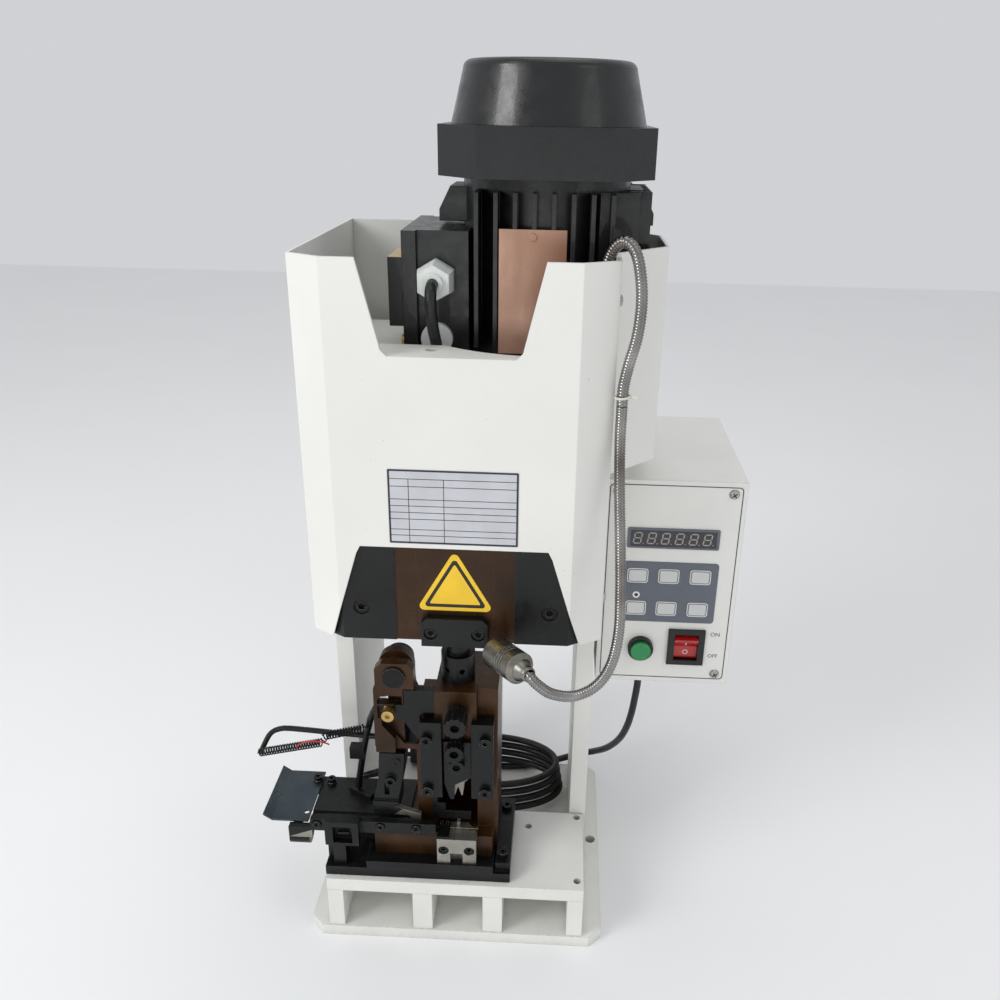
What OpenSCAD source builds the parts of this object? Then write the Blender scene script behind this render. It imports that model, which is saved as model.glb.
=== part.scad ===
// Bench press for crimping terminals: side frames, worm geared motor, counter box, lamp and side feed applicator.
// X points right, Y points back and Z up. The origin is the middle of the base plate's underside.

/* [Base and table] */
// width of the base plate
base_w = 240; // [200:1:300]
// depth of the base plate
base_d = 212; // [180:1:260]
// thickness of the base plate
base_t = 10; // [6:0.5:16]
// cut across each corner of the base plate
base_cut = 10; // [4:1:20]
// bolt hole in each side margin of the base
base_bolt_d = 9; // [6:0.5:12]
// distance of the bolt holes from the side edge
base_bolt_edge = 7; // [5:0.5:12]
// height of the table's top face
table_top = 59.5; // [45:0.5:80]
// thickness of the table plate
table_t = 12; // [8:0.5:20]
// width of the table plate
table_w = 208; // [160:1:240]
// depth of the table plate
table_d = 86; // [60:1:120]
// front edge of the table, in front of the middle
table_front = 105; // [90:1:110]
// width of an outer table rail
outer_rail_w = 13; // [8:0.5:20]
// width of an inner table rail
inner_rail_w = 16; // [8:0.5:24]
// middle of the left inner rail
inner_rail_left = -26.5; // [-50:0.5:-10]
// middle of the right inner rail
inner_rail_right = 30.5; // [10:0.5:50]
// tapped hole in the table
table_hole_d = 5.8; // [4:0.1:9]
// tapped holes' distance from the middle, sideways
table_hole_x = 98.5; // [80:0.5:100]

/* [Side frames and head] */
// outer face of a side frame, from the middle
frame_outer = 106; // [95:0.5:115]
// thickness of a side frame
frame_t = 14; // [8:0.5:20]
// front edge of the columns
column_front = -18; // [-30:1:10]
// back edge of the side frames
column_back = 100; // [60:1:106]
// front edge of the head
head_front = -66; // [-80:1:-50]
// underside of the head
head_bottom = 270; // [240:1:300]
// top of the side frames
head_top = 466; // [420:1:500]
// inner radius of the throat
throat_r = 44; // [20:1:60]
// thickness of the motor plate
top_plate_t = 4; // [3:0.5:8]
// half width of the ram's channel
channel_half = 52; // [46:0.5:60]
// back face of the ram's channel
slot_back = -50; // [-58:0.5:-44]
// thickness of the head block's back wall
block_wall = 16; // [8:0.5:24]
// sliding clearance on each face of the ram
slide_gap = 0.05; // [0.02:0.01:0.1]

/* [Ram and drive] */
// front face of the gib plates
gib_front = -78; // [-82:0.5:-70]
// height of the gib plates
gib_h = 130; // [80:1:160]
// half width of the ram's column
ram_half = 28; // [22:0.5:31]
// half width between the black gib plates
cheek_half = 43.5; // [36:0.5:60]
// underside of the ram's wings
wing_low = 302; // [290:1:320]
// front face of the ram
ram_front = -77; // [-80:0.5:-70]
// height of the ram
ram_h = 180; // [120:1:190]
// press stroke
stroke = 30; // [20:1:40]
// height of the crankshaft's axis
crank_z = 400; // [370:1:420]
// diameter of the crankshaft
crank_d = 26; // [18:0.5:34]
// diameter of the crank pin's roller
roller_d = 20; // [12:0.5:26]
// upright play of the roller's slot, on each side
slot_play = 3.3; // [3.2:0.1:5]
// distance of the motor axis from the crankshaft axis
motor_x = 57; // [50:0.5:70]
// motor axis, front to back
motor_y = 34; // [20:0.5:50]
// teeth of the worm wheel
wheel_teeth = 29; // [20:1:40]
// tip radius of the worm wheel
wheel_r = 43.9; // [38:0.1:50]
// width of the worm wheel
wheel_w = 24; // [14:1:34]
// outer radius of the worm
worm_r = 13; // [10:0.1:16]

/* [Motor] */
// radius of the motor's core
core_r = 60; // [50:0.5:70]
// reach of the cooling fins from the axis
fin_reach = 66; // [60:0.5:75]
// spacing of the cooling fins
fin_pitch = 13; // [8:0.5:20]
// thickness of a cooling fin
fin_t = 3; // [2:0.1:5]
// underside of the brake housing
brake_bottom = 594.5; // [560:0.5:610]
// width across the brake housing
brake_w = 146; // [120:1:180]
// height of the brake housing
brake_h = 32.5; // [20:0.5:50]
// cut across each corner of the brake housing
brake_chamfer = 27.5; // [10:0.5:40]
// height of the fan cover
fan_cover_h = 41; // [25:0.5:60]
// lower diameter of the fan cover
fan_cover_d = 137.5; // [120:0.5:160]
// upper diameter of the fan cover
fan_cover_top_d = 120.5; // [100:0.5:150]

/* [Sheet covers] */
// sheet thickness
sheet_t = 2; // [1:0.1:3]
// front face of the front cover
cover_front = -81; // [-85:0.5:-75]
// half width of the front cover's flat face
cover_flat_half = 84; // [70:0.5:95]
// where the slanted corner meets the side
side_start = -67; // [-75:0.5:-55]
// where the front cover meets the rear cover
cover_split = -44; // [-50:0.5:-38]
// top rim of the covers
cover_top = 549.5; // [500:0.5:600]
// underside of the rear cover
rear_bottom = 390; // [350:1:420]
// back face of the rear cover
rear_back = 123; // [105:1:140]
// how far the right bulge stands out
bulge_out = 36.5; // [10:0.5:50]
// front end of the bulge's side
bulge_front = 2; // [-20:1:20]
// back end of the bulge's side
bulge_back = 62; // [40:1:90]

/* [Counter box] */
// left face of the counter box
box_x = 110; // [108:0.5:120]
// width of the counter box
box_w = 113; // [90:1:140]
// front face of the counter box
box_front = 15; // [-10:1:40]
// depth of the counter box
box_d = 163; // [120:1:200]
// underside of the counter box
box_z = 179; // [150:1:220]
// height of the counter box
box_h = 188; // [150:1:220]

/* [Lamp] */
// outer diameter of the bendable arm
arm_d = 8; // [6:0.5:12]
// diameter of the lamp head
lamp_d = 23; // [18:0.5:32]
// length of the lamp head
lamp_l = 34; // [24:0.5:50]

/* [Applicator] */
// left end of the applicator base
tool_left = -105; // [-110:0.5:-90]
// right end of the applicator base
tool_right = 44; // [36:0.5:60]
// front edge of the applicator base
tool_front = -100.5; // [-105:0.5:-90]
// back edge of the applicator base
tool_back = -20; // [-30:0.5:-19]
// thickness of the applicator base
tool_base_t = 8.5; // [6:0.5:12]
// half width of the applicator ram
tool_ram_half = 16; // [12:0.5:20]
// top of the applicator ram and frame
tool_top = 229; // [228:0.5:229]
// front face of the applicator ram
tool_ram_front = -84; // [-86:0.5:-80]
// axis of the ram post, front to back
post_y = -62; // [-66:0.5:-58]
// diameter of the post's neck
post_d = 18; // [12:0.5:24]
// diameter of the post's ring
ring_d = 26; // [20:0.5:32]
// diameter of a setting dial
dial_d = 17; // [12:0.5:18]
// sideways place of the feed stud
cam_stud_x = -51.1; // [-53:0.1:-50]
// height of the feed stud
cam_stud_z = 208.6; // [206:0.1:210]
// sideways place of the feed lever's pivot
pivot_x = -46.5; // [-48:0.5:-45]
// height of the feed lever's pivot
pivot_z = 240.5; // [239:0.5:242]
// height of the strip track's upper face
track_z = 100; // [90:0.5:110]

/* [Hidden] */
$fn = 32;
// how far every cut runs past the face it opens
over = 1;
// gap between pieces that are screwed, glued or hooked together but modelled apart
part_gap = 0.1;
// radial clearance of turning pieces
turn_gap = 0.05;
base_front = -base_d / 2;
base_back = base_d / 2;
base_side = base_w / 2;
base_bolt_x = base_side - base_bolt_edge;
base_bolt_y = 3;
table_y = -table_front;
table_back = table_y + table_d;
table_side = table_w / 2;
table_z = table_top - table_t;
table_hole_front = -95.5;
table_hole_back = -24;
table_hole_odd_x = 56.5;
table_hole_odd_y = -37;
frame_inner = frame_outer - frame_t;
ram_back = slot_back - slide_gap;
ram_step = head_front + slide_gap;
ram_wing = channel_half - slide_gap;
pin_z = crank_z + stroke / 2;
motor_floor = head_top + top_plate_t;
brake_top = brake_bottom + brake_h;
steel_white = [0.9, 0.9, 0.88];
steel_black = [0.08, 0.08, 0.09];
steel_brown = [0.2, 0.12, 0.07];
steel_bare = [0.68, 0.67, 0.64];
dark_plastic = [0.12, 0.12, 0.13];

// a range that reaches the same way to both sides
function both(middle, half) = [middle - half, middle + half];
// a straight block between two corners
module slab(x, y, z) {
  translate([x[0], y[0], z[0]])
    cube([x[1] - x[0], y[1] - y[0], z[1] - z[0]]);
}

// round bars along each axis
module bar_z(x, y, z, d) {
  translate([x, y, z[0]])
    cylinder(d = d, h = z[1] - z[0]);
}
module bar_y(x, z, y, d) {
  translate([x, y[1], z])
    rotate([90, 0, 0])
      cylinder(d = d, h = y[1] - y[0]);
}
module bar_x(y, z, x, d) {
  translate([x[0], y, z])
    rotate([0, 90, 0])
      cylinder(d = d, h = x[1] - x[0]);
}

// outlines drawn out along each axis
module plate_z(points, z) {
  translate([0, 0, z[0]])
    linear_extrude(z[1] - z[0])
      polygon(points);
}
module plate_y(points, y) {
  translate([0, y[1], 0])
    rotate([90, 0, 0])
      linear_extrude(y[1] - y[0])
        polygon(points);
}
module plate_x(points, x) {
  translate([x[0], 0, 0])
    rotate([90, 0, 90])
      linear_extrude(x[1] - x[0])
        polygon(points);
}

// socket screw whose head faces the front and rests on seat
head_share = 1.7;
head_h_share = 0.8;
key_share = 0.95;
key_depth_share = 0.5;
module front_screw(x, z, seat, d, grip) {
  difference() {
    union() {
      bar_y(x, z, [seat - d * head_h_share, seat], d * head_share);
      bar_y(x, z, [seat, seat + grip], d);
    }
    translate([x, seat - d * (head_h_share - key_depth_share), z])
      rotate([90, 0, 0])
        cylinder(d = d * key_share, h = d, $fn = 6);
  }
}
// socket screw whose head faces up and rests on seat
module top_screw(x, y, seat, d, grip) {
  difference() {
    union() {
      bar_z(x, y, [seat, seat + d * head_h_share], d * head_share);
      bar_z(x, y, [seat - grip, seat], d);
    }
    translate([x, y, seat + d * (head_h_share - key_depth_share)])
      cylinder(d = d * key_share, h = d, $fn = 6);
  }
}

module base_plate() {
  color(steel_white)
    difference() {
      plate_z([
        [-base_side + base_cut, base_front], [base_side - base_cut, base_front],
        [base_side, base_front + base_cut], [base_side, base_back - base_cut],
        [base_side - base_cut, base_back], [-base_side + base_cut, base_back],
        [-base_side, base_back - base_cut], [-base_side, base_front + base_cut]
      ], [0, base_t]);
      for (side = [-1, 1])
        bar_z(side * base_bolt_x, base_bolt_y, [-over, base_t + over], base_bolt_d);
    }
}

module bench_rails() {
  color(steel_white) {
    for (middle = [-table_side + outer_rail_w / 2, table_side - outer_rail_w / 2])
      slab(both(middle, outer_rail_w / 2), [table_y, table_back], [base_t, table_z]);
    for (middle = [inner_rail_left, inner_rail_right])
      slab(both(middle, inner_rail_w / 2), [table_y, table_back], [base_t, table_z]);
  }
}

module bench_plate() {
  color(steel_white)
    difference() {
      slab([-table_side, table_side], [table_y, table_back], [table_z, table_top]);
      for (side = [-1, 1])
        for (y = [table_hole_front, table_hole_back])
          bar_z(side * table_hole_x, y, [table_z - over, table_top + over], table_hole_d);
      bar_z(table_hole_odd_x, table_hole_odd_y, [table_z - over, table_top + over], table_hole_d);
    }
}

cover_screw_d = 4;
cover_screw_head = 9;
cover_screw_grip = 8;
side_screw_y = -55;
cover_screw_low_z = 300;
cover_screw_high_z = 522;
cover_screw_rear_y = 60;
cover_screw_rear_z = 430;
box_bolt_d = 5;
box_bolt_y = 60;
box_bolt_z = 260;
module side_frame(x, side) {
  color(steel_white)
    difference() {
      union() {
        slab(x, [column_front, column_back], [base_t, head_top]);
        slab(x, [head_front, column_front + over], [head_bottom, head_top]);
        difference() {
          slab(x, [column_front - throat_r, column_front + over], [head_bottom - throat_r, head_bottom + over]);
          bar_x(column_front - throat_r, head_bottom - throat_r, [x[0] - over, x[1] + over], 2 * throat_r, $fn = 64);
        }
      }
      for (hole = [[side_screw_y, cover_screw_low_z], [cover_screw_rear_y, cover_screw_rear_z]])
        bar_x(hole[0], hole[1], [side * frame_outer - cover_screw_grip, side * frame_outer + cover_screw_grip],
          cover_screw_d + part_gap);
    }
}
module left_side_frame() {
  side_frame([-frame_outer, -frame_inner], -1);
}
module right_side_frame() {
  side_frame([frame_inner, frame_outer], 1);
}

gib_screw_d = 6.5;
gib_screw_x = 69;
gib_screw_low = 296.5;
gib_screw_high = 380;
gib_screw_grip = 18;
gib_head_depth = 6;
seat_ring = 17.5;
seat_d = crank_d + 2 * seat_ring;
seat_depth = 9;
module gib_screw_holes(y, d) {
  for (side = [-1, 1])
    for (z = [gib_screw_low, gib_screw_high])
      bar_y(side * gib_screw_x, z, y, d);
}
module head_block() {
  color(steel_brown)
    difference() {
      union() {
        slab([-frame_inner, frame_inner], [slot_back, slot_back + block_wall], [head_bottom, head_top]);
        for (side = [-1, 1])
          slab([min(side * channel_half, side * frame_inner), max(side * channel_half, side * frame_inner)],
            [head_front, slot_back + over], [head_bottom, head_top]);
      }
      bar_y(0, crank_z, [slot_back - over, slot_back + block_wall + over], crank_d + 2 * turn_gap, $fn = 48);
      bar_y(0, crank_z, [slot_back - over, slot_back + seat_depth], seat_d, $fn = 48);
      gib_screw_holes([head_front - over, head_front + gib_screw_grip], gib_screw_d + part_gap);
    }
}

motor_hole_d = 58;
motor_cable_x = -16;
motor_cable_y = -29;
motor_ledge_hole = [-16, -60];
motor_cable_d = 8;
module top_plate() {
  color(steel_white)
    difference() {
      slab([-frame_outer, frame_outer], [head_front, column_back], [head_top, motor_floor]);
      bar_z(motor_x, motor_y, [head_top - over, motor_floor + over], motor_hole_d);
      bar_z(motor_cable_x, motor_cable_y, [head_top - over, motor_floor + over], motor_cable_d + 2 * over);
    }
}

gib_slope_front = 83;
gib_slope_back = 100.5;
gib_slope_y = -67.5;
gib_inner = ram_half + slide_gap;
module gib(side) {
  color(steel_black)
    difference() {
      plate_z([
        [side * cheek_half, head_front], [side * cheek_half, gib_front], [side * gib_slope_front, gib_front],
        [side * gib_slope_back, gib_slope_y], [side * gib_slope_back, head_front]
      ], [head_bottom, head_bottom + gib_h]);
      for (z = [gib_screw_low, gib_screw_high]) {
        bar_y(side * gib_screw_x, z, [gib_front - over, head_front + over], gib_screw_d + part_gap);
        bar_y(side * gib_screw_x, z, [gib_front - over, gib_front + gib_head_depth],
          gib_screw_d * head_share + over);
      }
    }
  color(steel_brown)
    slab([min(side * gib_inner, side * cheek_half), max(side * gib_inner, side * cheek_half)],
      [ram_front, head_front], [head_bottom, head_bottom + gib_h]);
}
module left_gib() {
  gib(-1);
}
module right_gib() {
  gib(1);
}
module gib_screws() {
  color(steel_black)
    for (side = [-1, 1])
      for (z = [gib_screw_low, gib_screw_high])
        front_screw(side * gib_screw_x, z, gib_front + gib_head_depth, gib_screw_d, gib_screw_grip);
}

u_top_half = 61;
u_low_half = 46.5;
u_low_z = 486.5;
u_corner = 4;
arch_low_half = 92;
arch_top_half = 67;
arch_shoulder_half = 70;
arch_top_z = 348;
arch_shoulder_z = 342;
ledge_t = 2;
ledge_back = -47;
ledge_half = 80;
ledge_clear_r = 104;
slope_in = 1;
module front_cover() {
  inner = cover_front + sheet_t;
  out = frame_outer + sheet_t;
  color(steel_white)
    difference() {
      union() {
        plate_z([
          [-out, cover_split], [-out, side_start], [-cover_flat_half, cover_front],
          [cover_flat_half, cover_front], [out, side_start], [out, cover_split],
          [frame_outer, cover_split], [frame_outer, side_start + slope_in],
          [cover_flat_half - slope_in, inner], [-cover_flat_half + slope_in, inner],
          [-frame_outer, side_start + slope_in], [-frame_outer, cover_split]
        ], [head_bottom, cover_top]);
        difference() {
          slab([-ledge_half, ledge_half], [inner - over, ledge_back], [u_low_z - ledge_t, u_low_z]);
          bar_z(motor_x, motor_y, [u_low_z - 2 * ledge_t, u_low_z + over], 2 * ledge_clear_r, $fn = 64);
          bar_z(motor_ledge_hole[0], motor_ledge_hole[1], [u_low_z - 2 * ledge_t, u_low_z + over], motor_cable_d);
        }
      }
      plate_y([
        [-u_top_half, cover_top + over], [-u_low_half, u_low_z + u_corner], [-u_low_half + u_corner, u_low_z],
        [u_low_half - u_corner, u_low_z], [u_low_half, u_low_z + u_corner], [u_top_half, cover_top + over]
      ], [cover_front - over, inner + over]);
      plate_y([
        [-arch_low_half, head_bottom - over], [-arch_shoulder_half, arch_shoulder_z], [-arch_top_half, arch_top_z],
        [arch_top_half, arch_top_z], [arch_shoulder_half, arch_shoulder_z], [arch_low_half, head_bottom - over]
      ], [cover_front - over, side_start]);
      for (z = [cover_screw_low_z, cover_screw_high_z])
        bar_x(side_screw_y, z, [-out - over, out + over], cover_screw_d + part_gap);
    }
}

tab_t = 2;
tab_front = -64;
tab_back = -36;
tab_low = 500;
tab_high = 544;
module rear_cover() {
  out = frame_outer + sheet_t;
  far = out + bulge_out;
  in_far = far - sheet_t;
  bend = 1.2;
  color(steel_white)
    difference() {
      union() {
        plate_z([
          [-out, cover_split], [-out, rear_back], [out, rear_back], [out, bulge_back + bulge_out],
          [far, bulge_back], [far, bulge_front], [out, bulge_front - bulge_out], [out, cover_split],
          [frame_outer, cover_split], [frame_outer, bulge_front - bulge_out + bend],
          [in_far, bulge_front + bend], [in_far, bulge_back - bend],
          [frame_outer, bulge_back + bulge_out - bend], [frame_outer, rear_back - sheet_t],
          [-frame_outer, rear_back - sheet_t], [-frame_outer, cover_split]
        ], [rear_bottom, cover_top]);
        plate_z([
          [frame_outer, bulge_front - bulge_out], [far - over, bulge_front], [far - over, bulge_back],
          [frame_outer, bulge_back + bulge_out]
        ], [rear_bottom, rear_bottom + sheet_t]);
        for (side = [-1, 1])
          slab([min(side * frame_outer, side * (frame_outer - tab_t)),
            max(side * frame_outer, side * (frame_outer - tab_t))],
            [tab_front, tab_back], [tab_low, tab_high]);
      }
      bar_x(side_screw_y, cover_screw_high_z, [-out - over, out + over], cover_screw_d + part_gap);
      bar_x(cover_screw_rear_y, cover_screw_rear_z, [-out - over, -out + 2 * sheet_t], cover_screw_d + part_gap);
    }
}

// domed screws through the sheet covers' sides
dome_share = 0.28;
module dome(d) {
  rotate_extrude()
    polygon([[0, 0], [d / 2, 0], [d * (0.5 - dome_share / 3), d * dome_share / 1.5], [d * dome_share, d * dome_share],
      [0, d * dome_share]]);
}
module side_screw(side, y, z) {
  out = side * (frame_outer + sheet_t);
  in = side * (frame_outer - (z > head_top ? tab_t : cover_screw_grip) + over / 2);
  bar_x(y, z, [min(out, in), max(out, in)], cover_screw_d);
  translate([out, y, z])
    rotate([0, side * 90, 0])
      dome(cover_screw_head);
}
module cover_screws() {
  color(steel_bare)
    for (side = [-1, 1]) {
      side_screw(side, side_screw_y, cover_screw_low_z);
      side_screw(side, side_screw_y, cover_screw_high_z);
    }
  color(steel_bare)
    side_screw(-1, cover_screw_rear_y, cover_screw_rear_z);
}

neck_slot = post_d + over;
head_slot = ring_d + 2 * over;
slot_neck_h = 7;
slot_head_h = 10;
hook_half = 24.5;
hook_h = 22;
hook_t = 7;
hook_corner = 4;
hook_screw_x = 17.5;
hook_screw_z = 279.8;
hook_screw_d = 5.5;
hook_screw_grip = 14;
hook_head_depth = 5.5;
roller_slot_half = 29;
roller_slot_depth = 14;
module ram() {
  top = head_bottom + ram_h;
  color(steel_brown)
    difference() {
      union() {
        slab([-ram_half, ram_half], [ram_front, ram_step + over], [head_bottom, top]);
        slab([-ram_half, ram_half], [ram_step, ram_back], [head_bottom, wing_low + over]);
        slab([-ram_wing, ram_wing], [ram_step, ram_back], [wing_low, top]);
      }
      slab([-roller_slot_half, roller_slot_half], [ram_back - roller_slot_depth, ram_back + over],
        both(pin_z, roller_d / 2 + slot_play));
      bar_z(0, post_y, [head_bottom - over, head_bottom + slot_neck_h], neck_slot);
      slab([-neck_slot / 2, neck_slot / 2], [ram_front - over, post_y], [head_bottom - over, head_bottom + slot_neck_h + over]);
      bar_z(0, post_y, [head_bottom + slot_neck_h, head_bottom + slot_neck_h + slot_head_h], head_slot);
      slab([-head_slot / 2, head_slot / 2], [ram_front - over, post_y],
        [head_bottom + slot_neck_h, head_bottom + slot_neck_h + slot_head_h]);
      for (side = [-1, 1])
        bar_y(side * hook_screw_x, hook_screw_z, [ram_front - over, ram_front + hook_screw_grip],
          hook_screw_d + part_gap);
    }
}

module ram_hook() {
  color(steel_black)
    difference() {
      plate_y([
        [-hook_half, head_bottom - over], [hook_half, head_bottom - over],
        [hook_half, head_bottom + hook_h - hook_corner], [hook_half - hook_corner, head_bottom + hook_h],
        [-hook_half + hook_corner, head_bottom + hook_h], [-hook_half, head_bottom + hook_h - hook_corner]
      ], [ram_front - hook_t, ram_front]);
      for (side = [-1, 1]) {
        bar_y(side * hook_screw_x, hook_screw_z, [ram_front - hook_t - over, ram_front + over],
          hook_screw_d + part_gap);
        bar_y(side * hook_screw_x, hook_screw_z, [ram_front - hook_t - over, ram_front - hook_t + hook_head_depth],
          hook_screw_d * head_share + over);
      }
    }
}
module hook_screws() {
  color(steel_black)
    for (side = [-1, 1])
      front_screw(side * hook_screw_x, hook_screw_z, ram_front - hook_t + hook_head_depth, hook_screw_d,
        hook_screw_grip);
}

// gearbox and crank
gear_left = -58;
gear_right = 84;
gear_front = -2;
gear_back = 70;
gear_bottom = crank_z - 55;
gear_room_r = 46;
gear_room_w = 27;
worm_room_r = 15;
hub_front = -34;
hub_d = 46;
motor_shaft_d = 14;
crank_back = 64;
disc_d = 58;
disc_gap = 0.2;
worm_bottom = crank_z - 40;
worm_top = crank_z + 40;
module gearbox_housing() {
  color(steel_black)
    difference() {
      union() {
        slab([gear_left, gear_right], [gear_front, gear_back], [gear_bottom, head_top]);
        bar_y(0, crank_z, [hub_front, gear_front + over], hub_d);
      }
      bar_y(0, crank_z, both(motor_y, gear_room_w / 2), 2 * gear_room_r, $fn = 48);
      bar_y(0, crank_z, [hub_front - over, crank_back + over], crank_d + 2 * turn_gap, $fn = 48);
      bar_z(motor_x, motor_y, [worm_bottom - over, head_top + over], 2 * worm_room_r, $fn = 48);
      bar_z(motor_x, motor_y, [gear_bottom + over, head_top], motor_shaft_d + 2 * turn_gap, $fn = 48);
    }
}
tooth_depth = 3;
module worm_wheel() {
  color([0.72, 0.53, 0.25])
    difference() {
      bar_y(0, crank_z, both(motor_y, wheel_w / 2), 2 * wheel_r, $fn = 64);
      bar_y(0, crank_z, both(motor_y, wheel_w), crank_d, $fn = 48);
      for (tooth = [0 : wheel_teeth - 1])
        translate([0, 0, crank_z])
          rotate([0, tooth * 360 / wheel_teeth, 0])
            slab([-tooth_depth / 2, tooth_depth / 2], both(motor_y, wheel_w),
              [wheel_r - tooth_depth, wheel_r + over]);
    }
}
module crankshaft() {
  color(steel_bare) {
    bar_y(0, crank_z, [slot_back + disc_gap, crank_back], crank_d, $fn = 48);
    bar_y(0, crank_z, [slot_back + disc_gap, slot_back + seat_depth - disc_gap], disc_d, $fn = 48);
    bar_y(0, pin_z, [ram_back - roller_slot_depth + over, slot_back + disc_gap + over], roller_d, $fn = 48);
  }
}

rotor_r = 38;
rotor_bottom = 492;
rotor_top = 578;
stator_gap = 0.5;
fan_r = 52;
fan_h = 18;
fan_room = 16;
fan_top = brake_top + fan_cover_h - fan_room;
fan_bottom = fan_top - fan_h;
shaft_top = fan_top;
fan_hub_r = 16;
fan_blades = 6;
fan_blade_t = 3;
fan_disc_t = 3;
module motor_rotor() {
  color(steel_bare) {
    bar_z(motor_x, motor_y, [gear_bottom + 2 * over, shaft_top], motor_shaft_d, $fn = 48);
    bar_z(motor_x, motor_y, [worm_bottom, worm_top], 2 * worm_r, $fn = 48);
    bar_z(motor_x, motor_y, [rotor_bottom, rotor_top], 2 * rotor_r, $fn = 64);
  }
}
module cooling_fan() {
  color(dark_plastic)
    difference() {
      union() {
        bar_z(motor_x, motor_y, [fan_bottom, fan_bottom + fan_disc_t], 2 * fan_r, $fn = 48);
        bar_z(motor_x, motor_y, [fan_bottom, fan_top], 2 * fan_hub_r);
        for (blade = [0 : fan_blades - 1])
          translate([motor_x, motor_y, 0])
            rotate([0, 0, blade * 360 / fan_blades])
              slab([motor_shaft_d, fan_r - over], [-fan_blade_t / 2, fan_blade_t / 2], [fan_bottom, fan_top]);
      }
      bar_z(motor_x, motor_y, [fan_bottom - over, fan_top + over], motor_shaft_d, $fn = 48);
    }
}

fins = 4;
fin_start_share = 0.5;
fin_rim = 4;
fin_bottom = 482;
fin_top = 586;
ear_half = 20;
ear_reach = 76;
ear_bottom = 562;
ear_round = 8;
module motor_frame() {
  color(steel_black)
    difference() {
      union() {
        bar_z(motor_x, motor_y, [motor_floor, brake_bottom], 2 * core_r, $fn = 64);
        for (side = [-1, 1])
          for (fin = [0 : fins - 1]) {
            step = fin + fin_start_share;
            reach = fin == fins - 1 ? core_r + fin_rim : ear_reach - fin_t;
            slab([motor_x + side * step * fin_pitch - fin_t / 2, motor_x + side * step * fin_pitch + fin_t / 2],
              both(motor_y, fin_reach), [fin_bottom, fin_top]);
            slab([motor_x, motor_x + reach],
              [motor_y + side * step * fin_pitch - fin_t / 2, motor_y + side * step * fin_pitch + fin_t / 2],
              [fin_bottom, fin_top]);
          }
        for (side = [-1, 1])
          plate_y([
            [motor_x, ear_bottom], [motor_x + side * ear_reach, ear_bottom],
            [motor_x + side * ear_reach, fin_top - 2 * ear_round],
            [motor_x + side * (ear_reach - ear_round), fin_top], [motor_x, fin_top]
          ], both(motor_y, ear_half));
      }
      bar_z(motor_x, motor_y, [rotor_bottom - over, rotor_top + over], 2 * (rotor_r + stator_gap), $fn = 64);
      bar_z(motor_x, motor_y, [motor_floor - over, brake_bottom + over], motor_shaft_d + 2 * turn_gap, $fn = 48);
    }
}

brake_wall = 6;
brake_room_r = 56;
module brake_outline() {
  half = brake_w / 2;
  cut = half - brake_chamfer;
  polygon([
    [-half, -cut], [-cut, -half], [cut, -half], [half, -cut],
    [half, cut], [cut, half], [-cut, half], [-half, cut]
  ]);
}
module brake_housing() {
  color(steel_black)
    difference() {
      translate([motor_x, motor_y, brake_bottom])
        linear_extrude(brake_h)
          brake_outline();
      bar_z(motor_x, motor_y, [brake_bottom + brake_wall, brake_top + over], 2 * brake_room_r, $fn = 48);
      bar_z(motor_x, motor_y, [brake_bottom - over, brake_top + over], motor_shaft_d + 2 * turn_gap, $fn = 48);
    }
}

cap_wall = 2;
cap_round = 6;
cap_angles = [0 : 15 : 90];
slot_w = 4;
slot_pitch = 10;
slot_rows = 4;
slot_half = 46;
module fan_cover() {
  low = fan_cover_d / 2;
  high = fan_cover_top_d / 2;
  color(steel_black)
    difference() {
      translate([motor_x, motor_y, brake_top])
        rotate_extrude($fn = 64)
          polygon([
            [low, 0],
            for (a = cap_angles) [high - cap_round * (1 - cos(a)), fan_cover_h - cap_round * (1 - sin(a))],
            [0, fan_cover_h],
            [0, fan_cover_h - cap_wall], [high - cap_round, fan_cover_h - cap_wall],
            [high - cap_wall, fan_cover_h - cap_round], [low - cap_wall, 0]
          ]);
      for (row = [-slot_rows : slot_rows]) {
        reach = sqrt(slot_half * slot_half - pow(row * slot_pitch, 2));
        slab(both(motor_x, reach),
          [motor_y + row * slot_pitch - slot_w / 2, motor_y + row * slot_pitch + slot_w / 2],
          [brake_top + fan_cover_h - 2 * cap_wall, brake_top + fan_cover_h + over]);
      }
    }
}

// terminal box on the motor's left side
tb_left = -31;
tb_right = 5;
tb_front = -17;
tb_back = 66;
tb_bottom = 475;
tb_top = 559;
tb_wall = 3;
lid_flange_t = 10;
lid_over = 5;
lid_pan_out = 10;
lid_pan_low = 493;
lid_pan_high = 541;
lid_pan_inset = 10;
lid_screw_d = 4;
lid_screw_head = 8;
lid_screw_inset = 7;
module terminal_box() {
  color(steel_black)
    difference() {
      union() {
        slab([tb_left, tb_right], [tb_front, tb_back], [tb_bottom, tb_top]);
      }
      bar_z(motor_x, motor_y, [tb_bottom - over, tb_top + over], 2 * core_r, $fn = 64);
      slab([tb_left - over, tb_left + motor_cable_room], [tb_front + tb_wall, tb_back - tb_wall],
        [tb_bottom + tb_wall, tb_top - tb_wall]);
      for (z = [gland_z, plug_z])
        bar_y(gland_x, z, [tb_front - over, tb_front + tb_wall + over], gland_thread_d + 2 * part_gap);
    }
}
motor_cable_room = 24;
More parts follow.
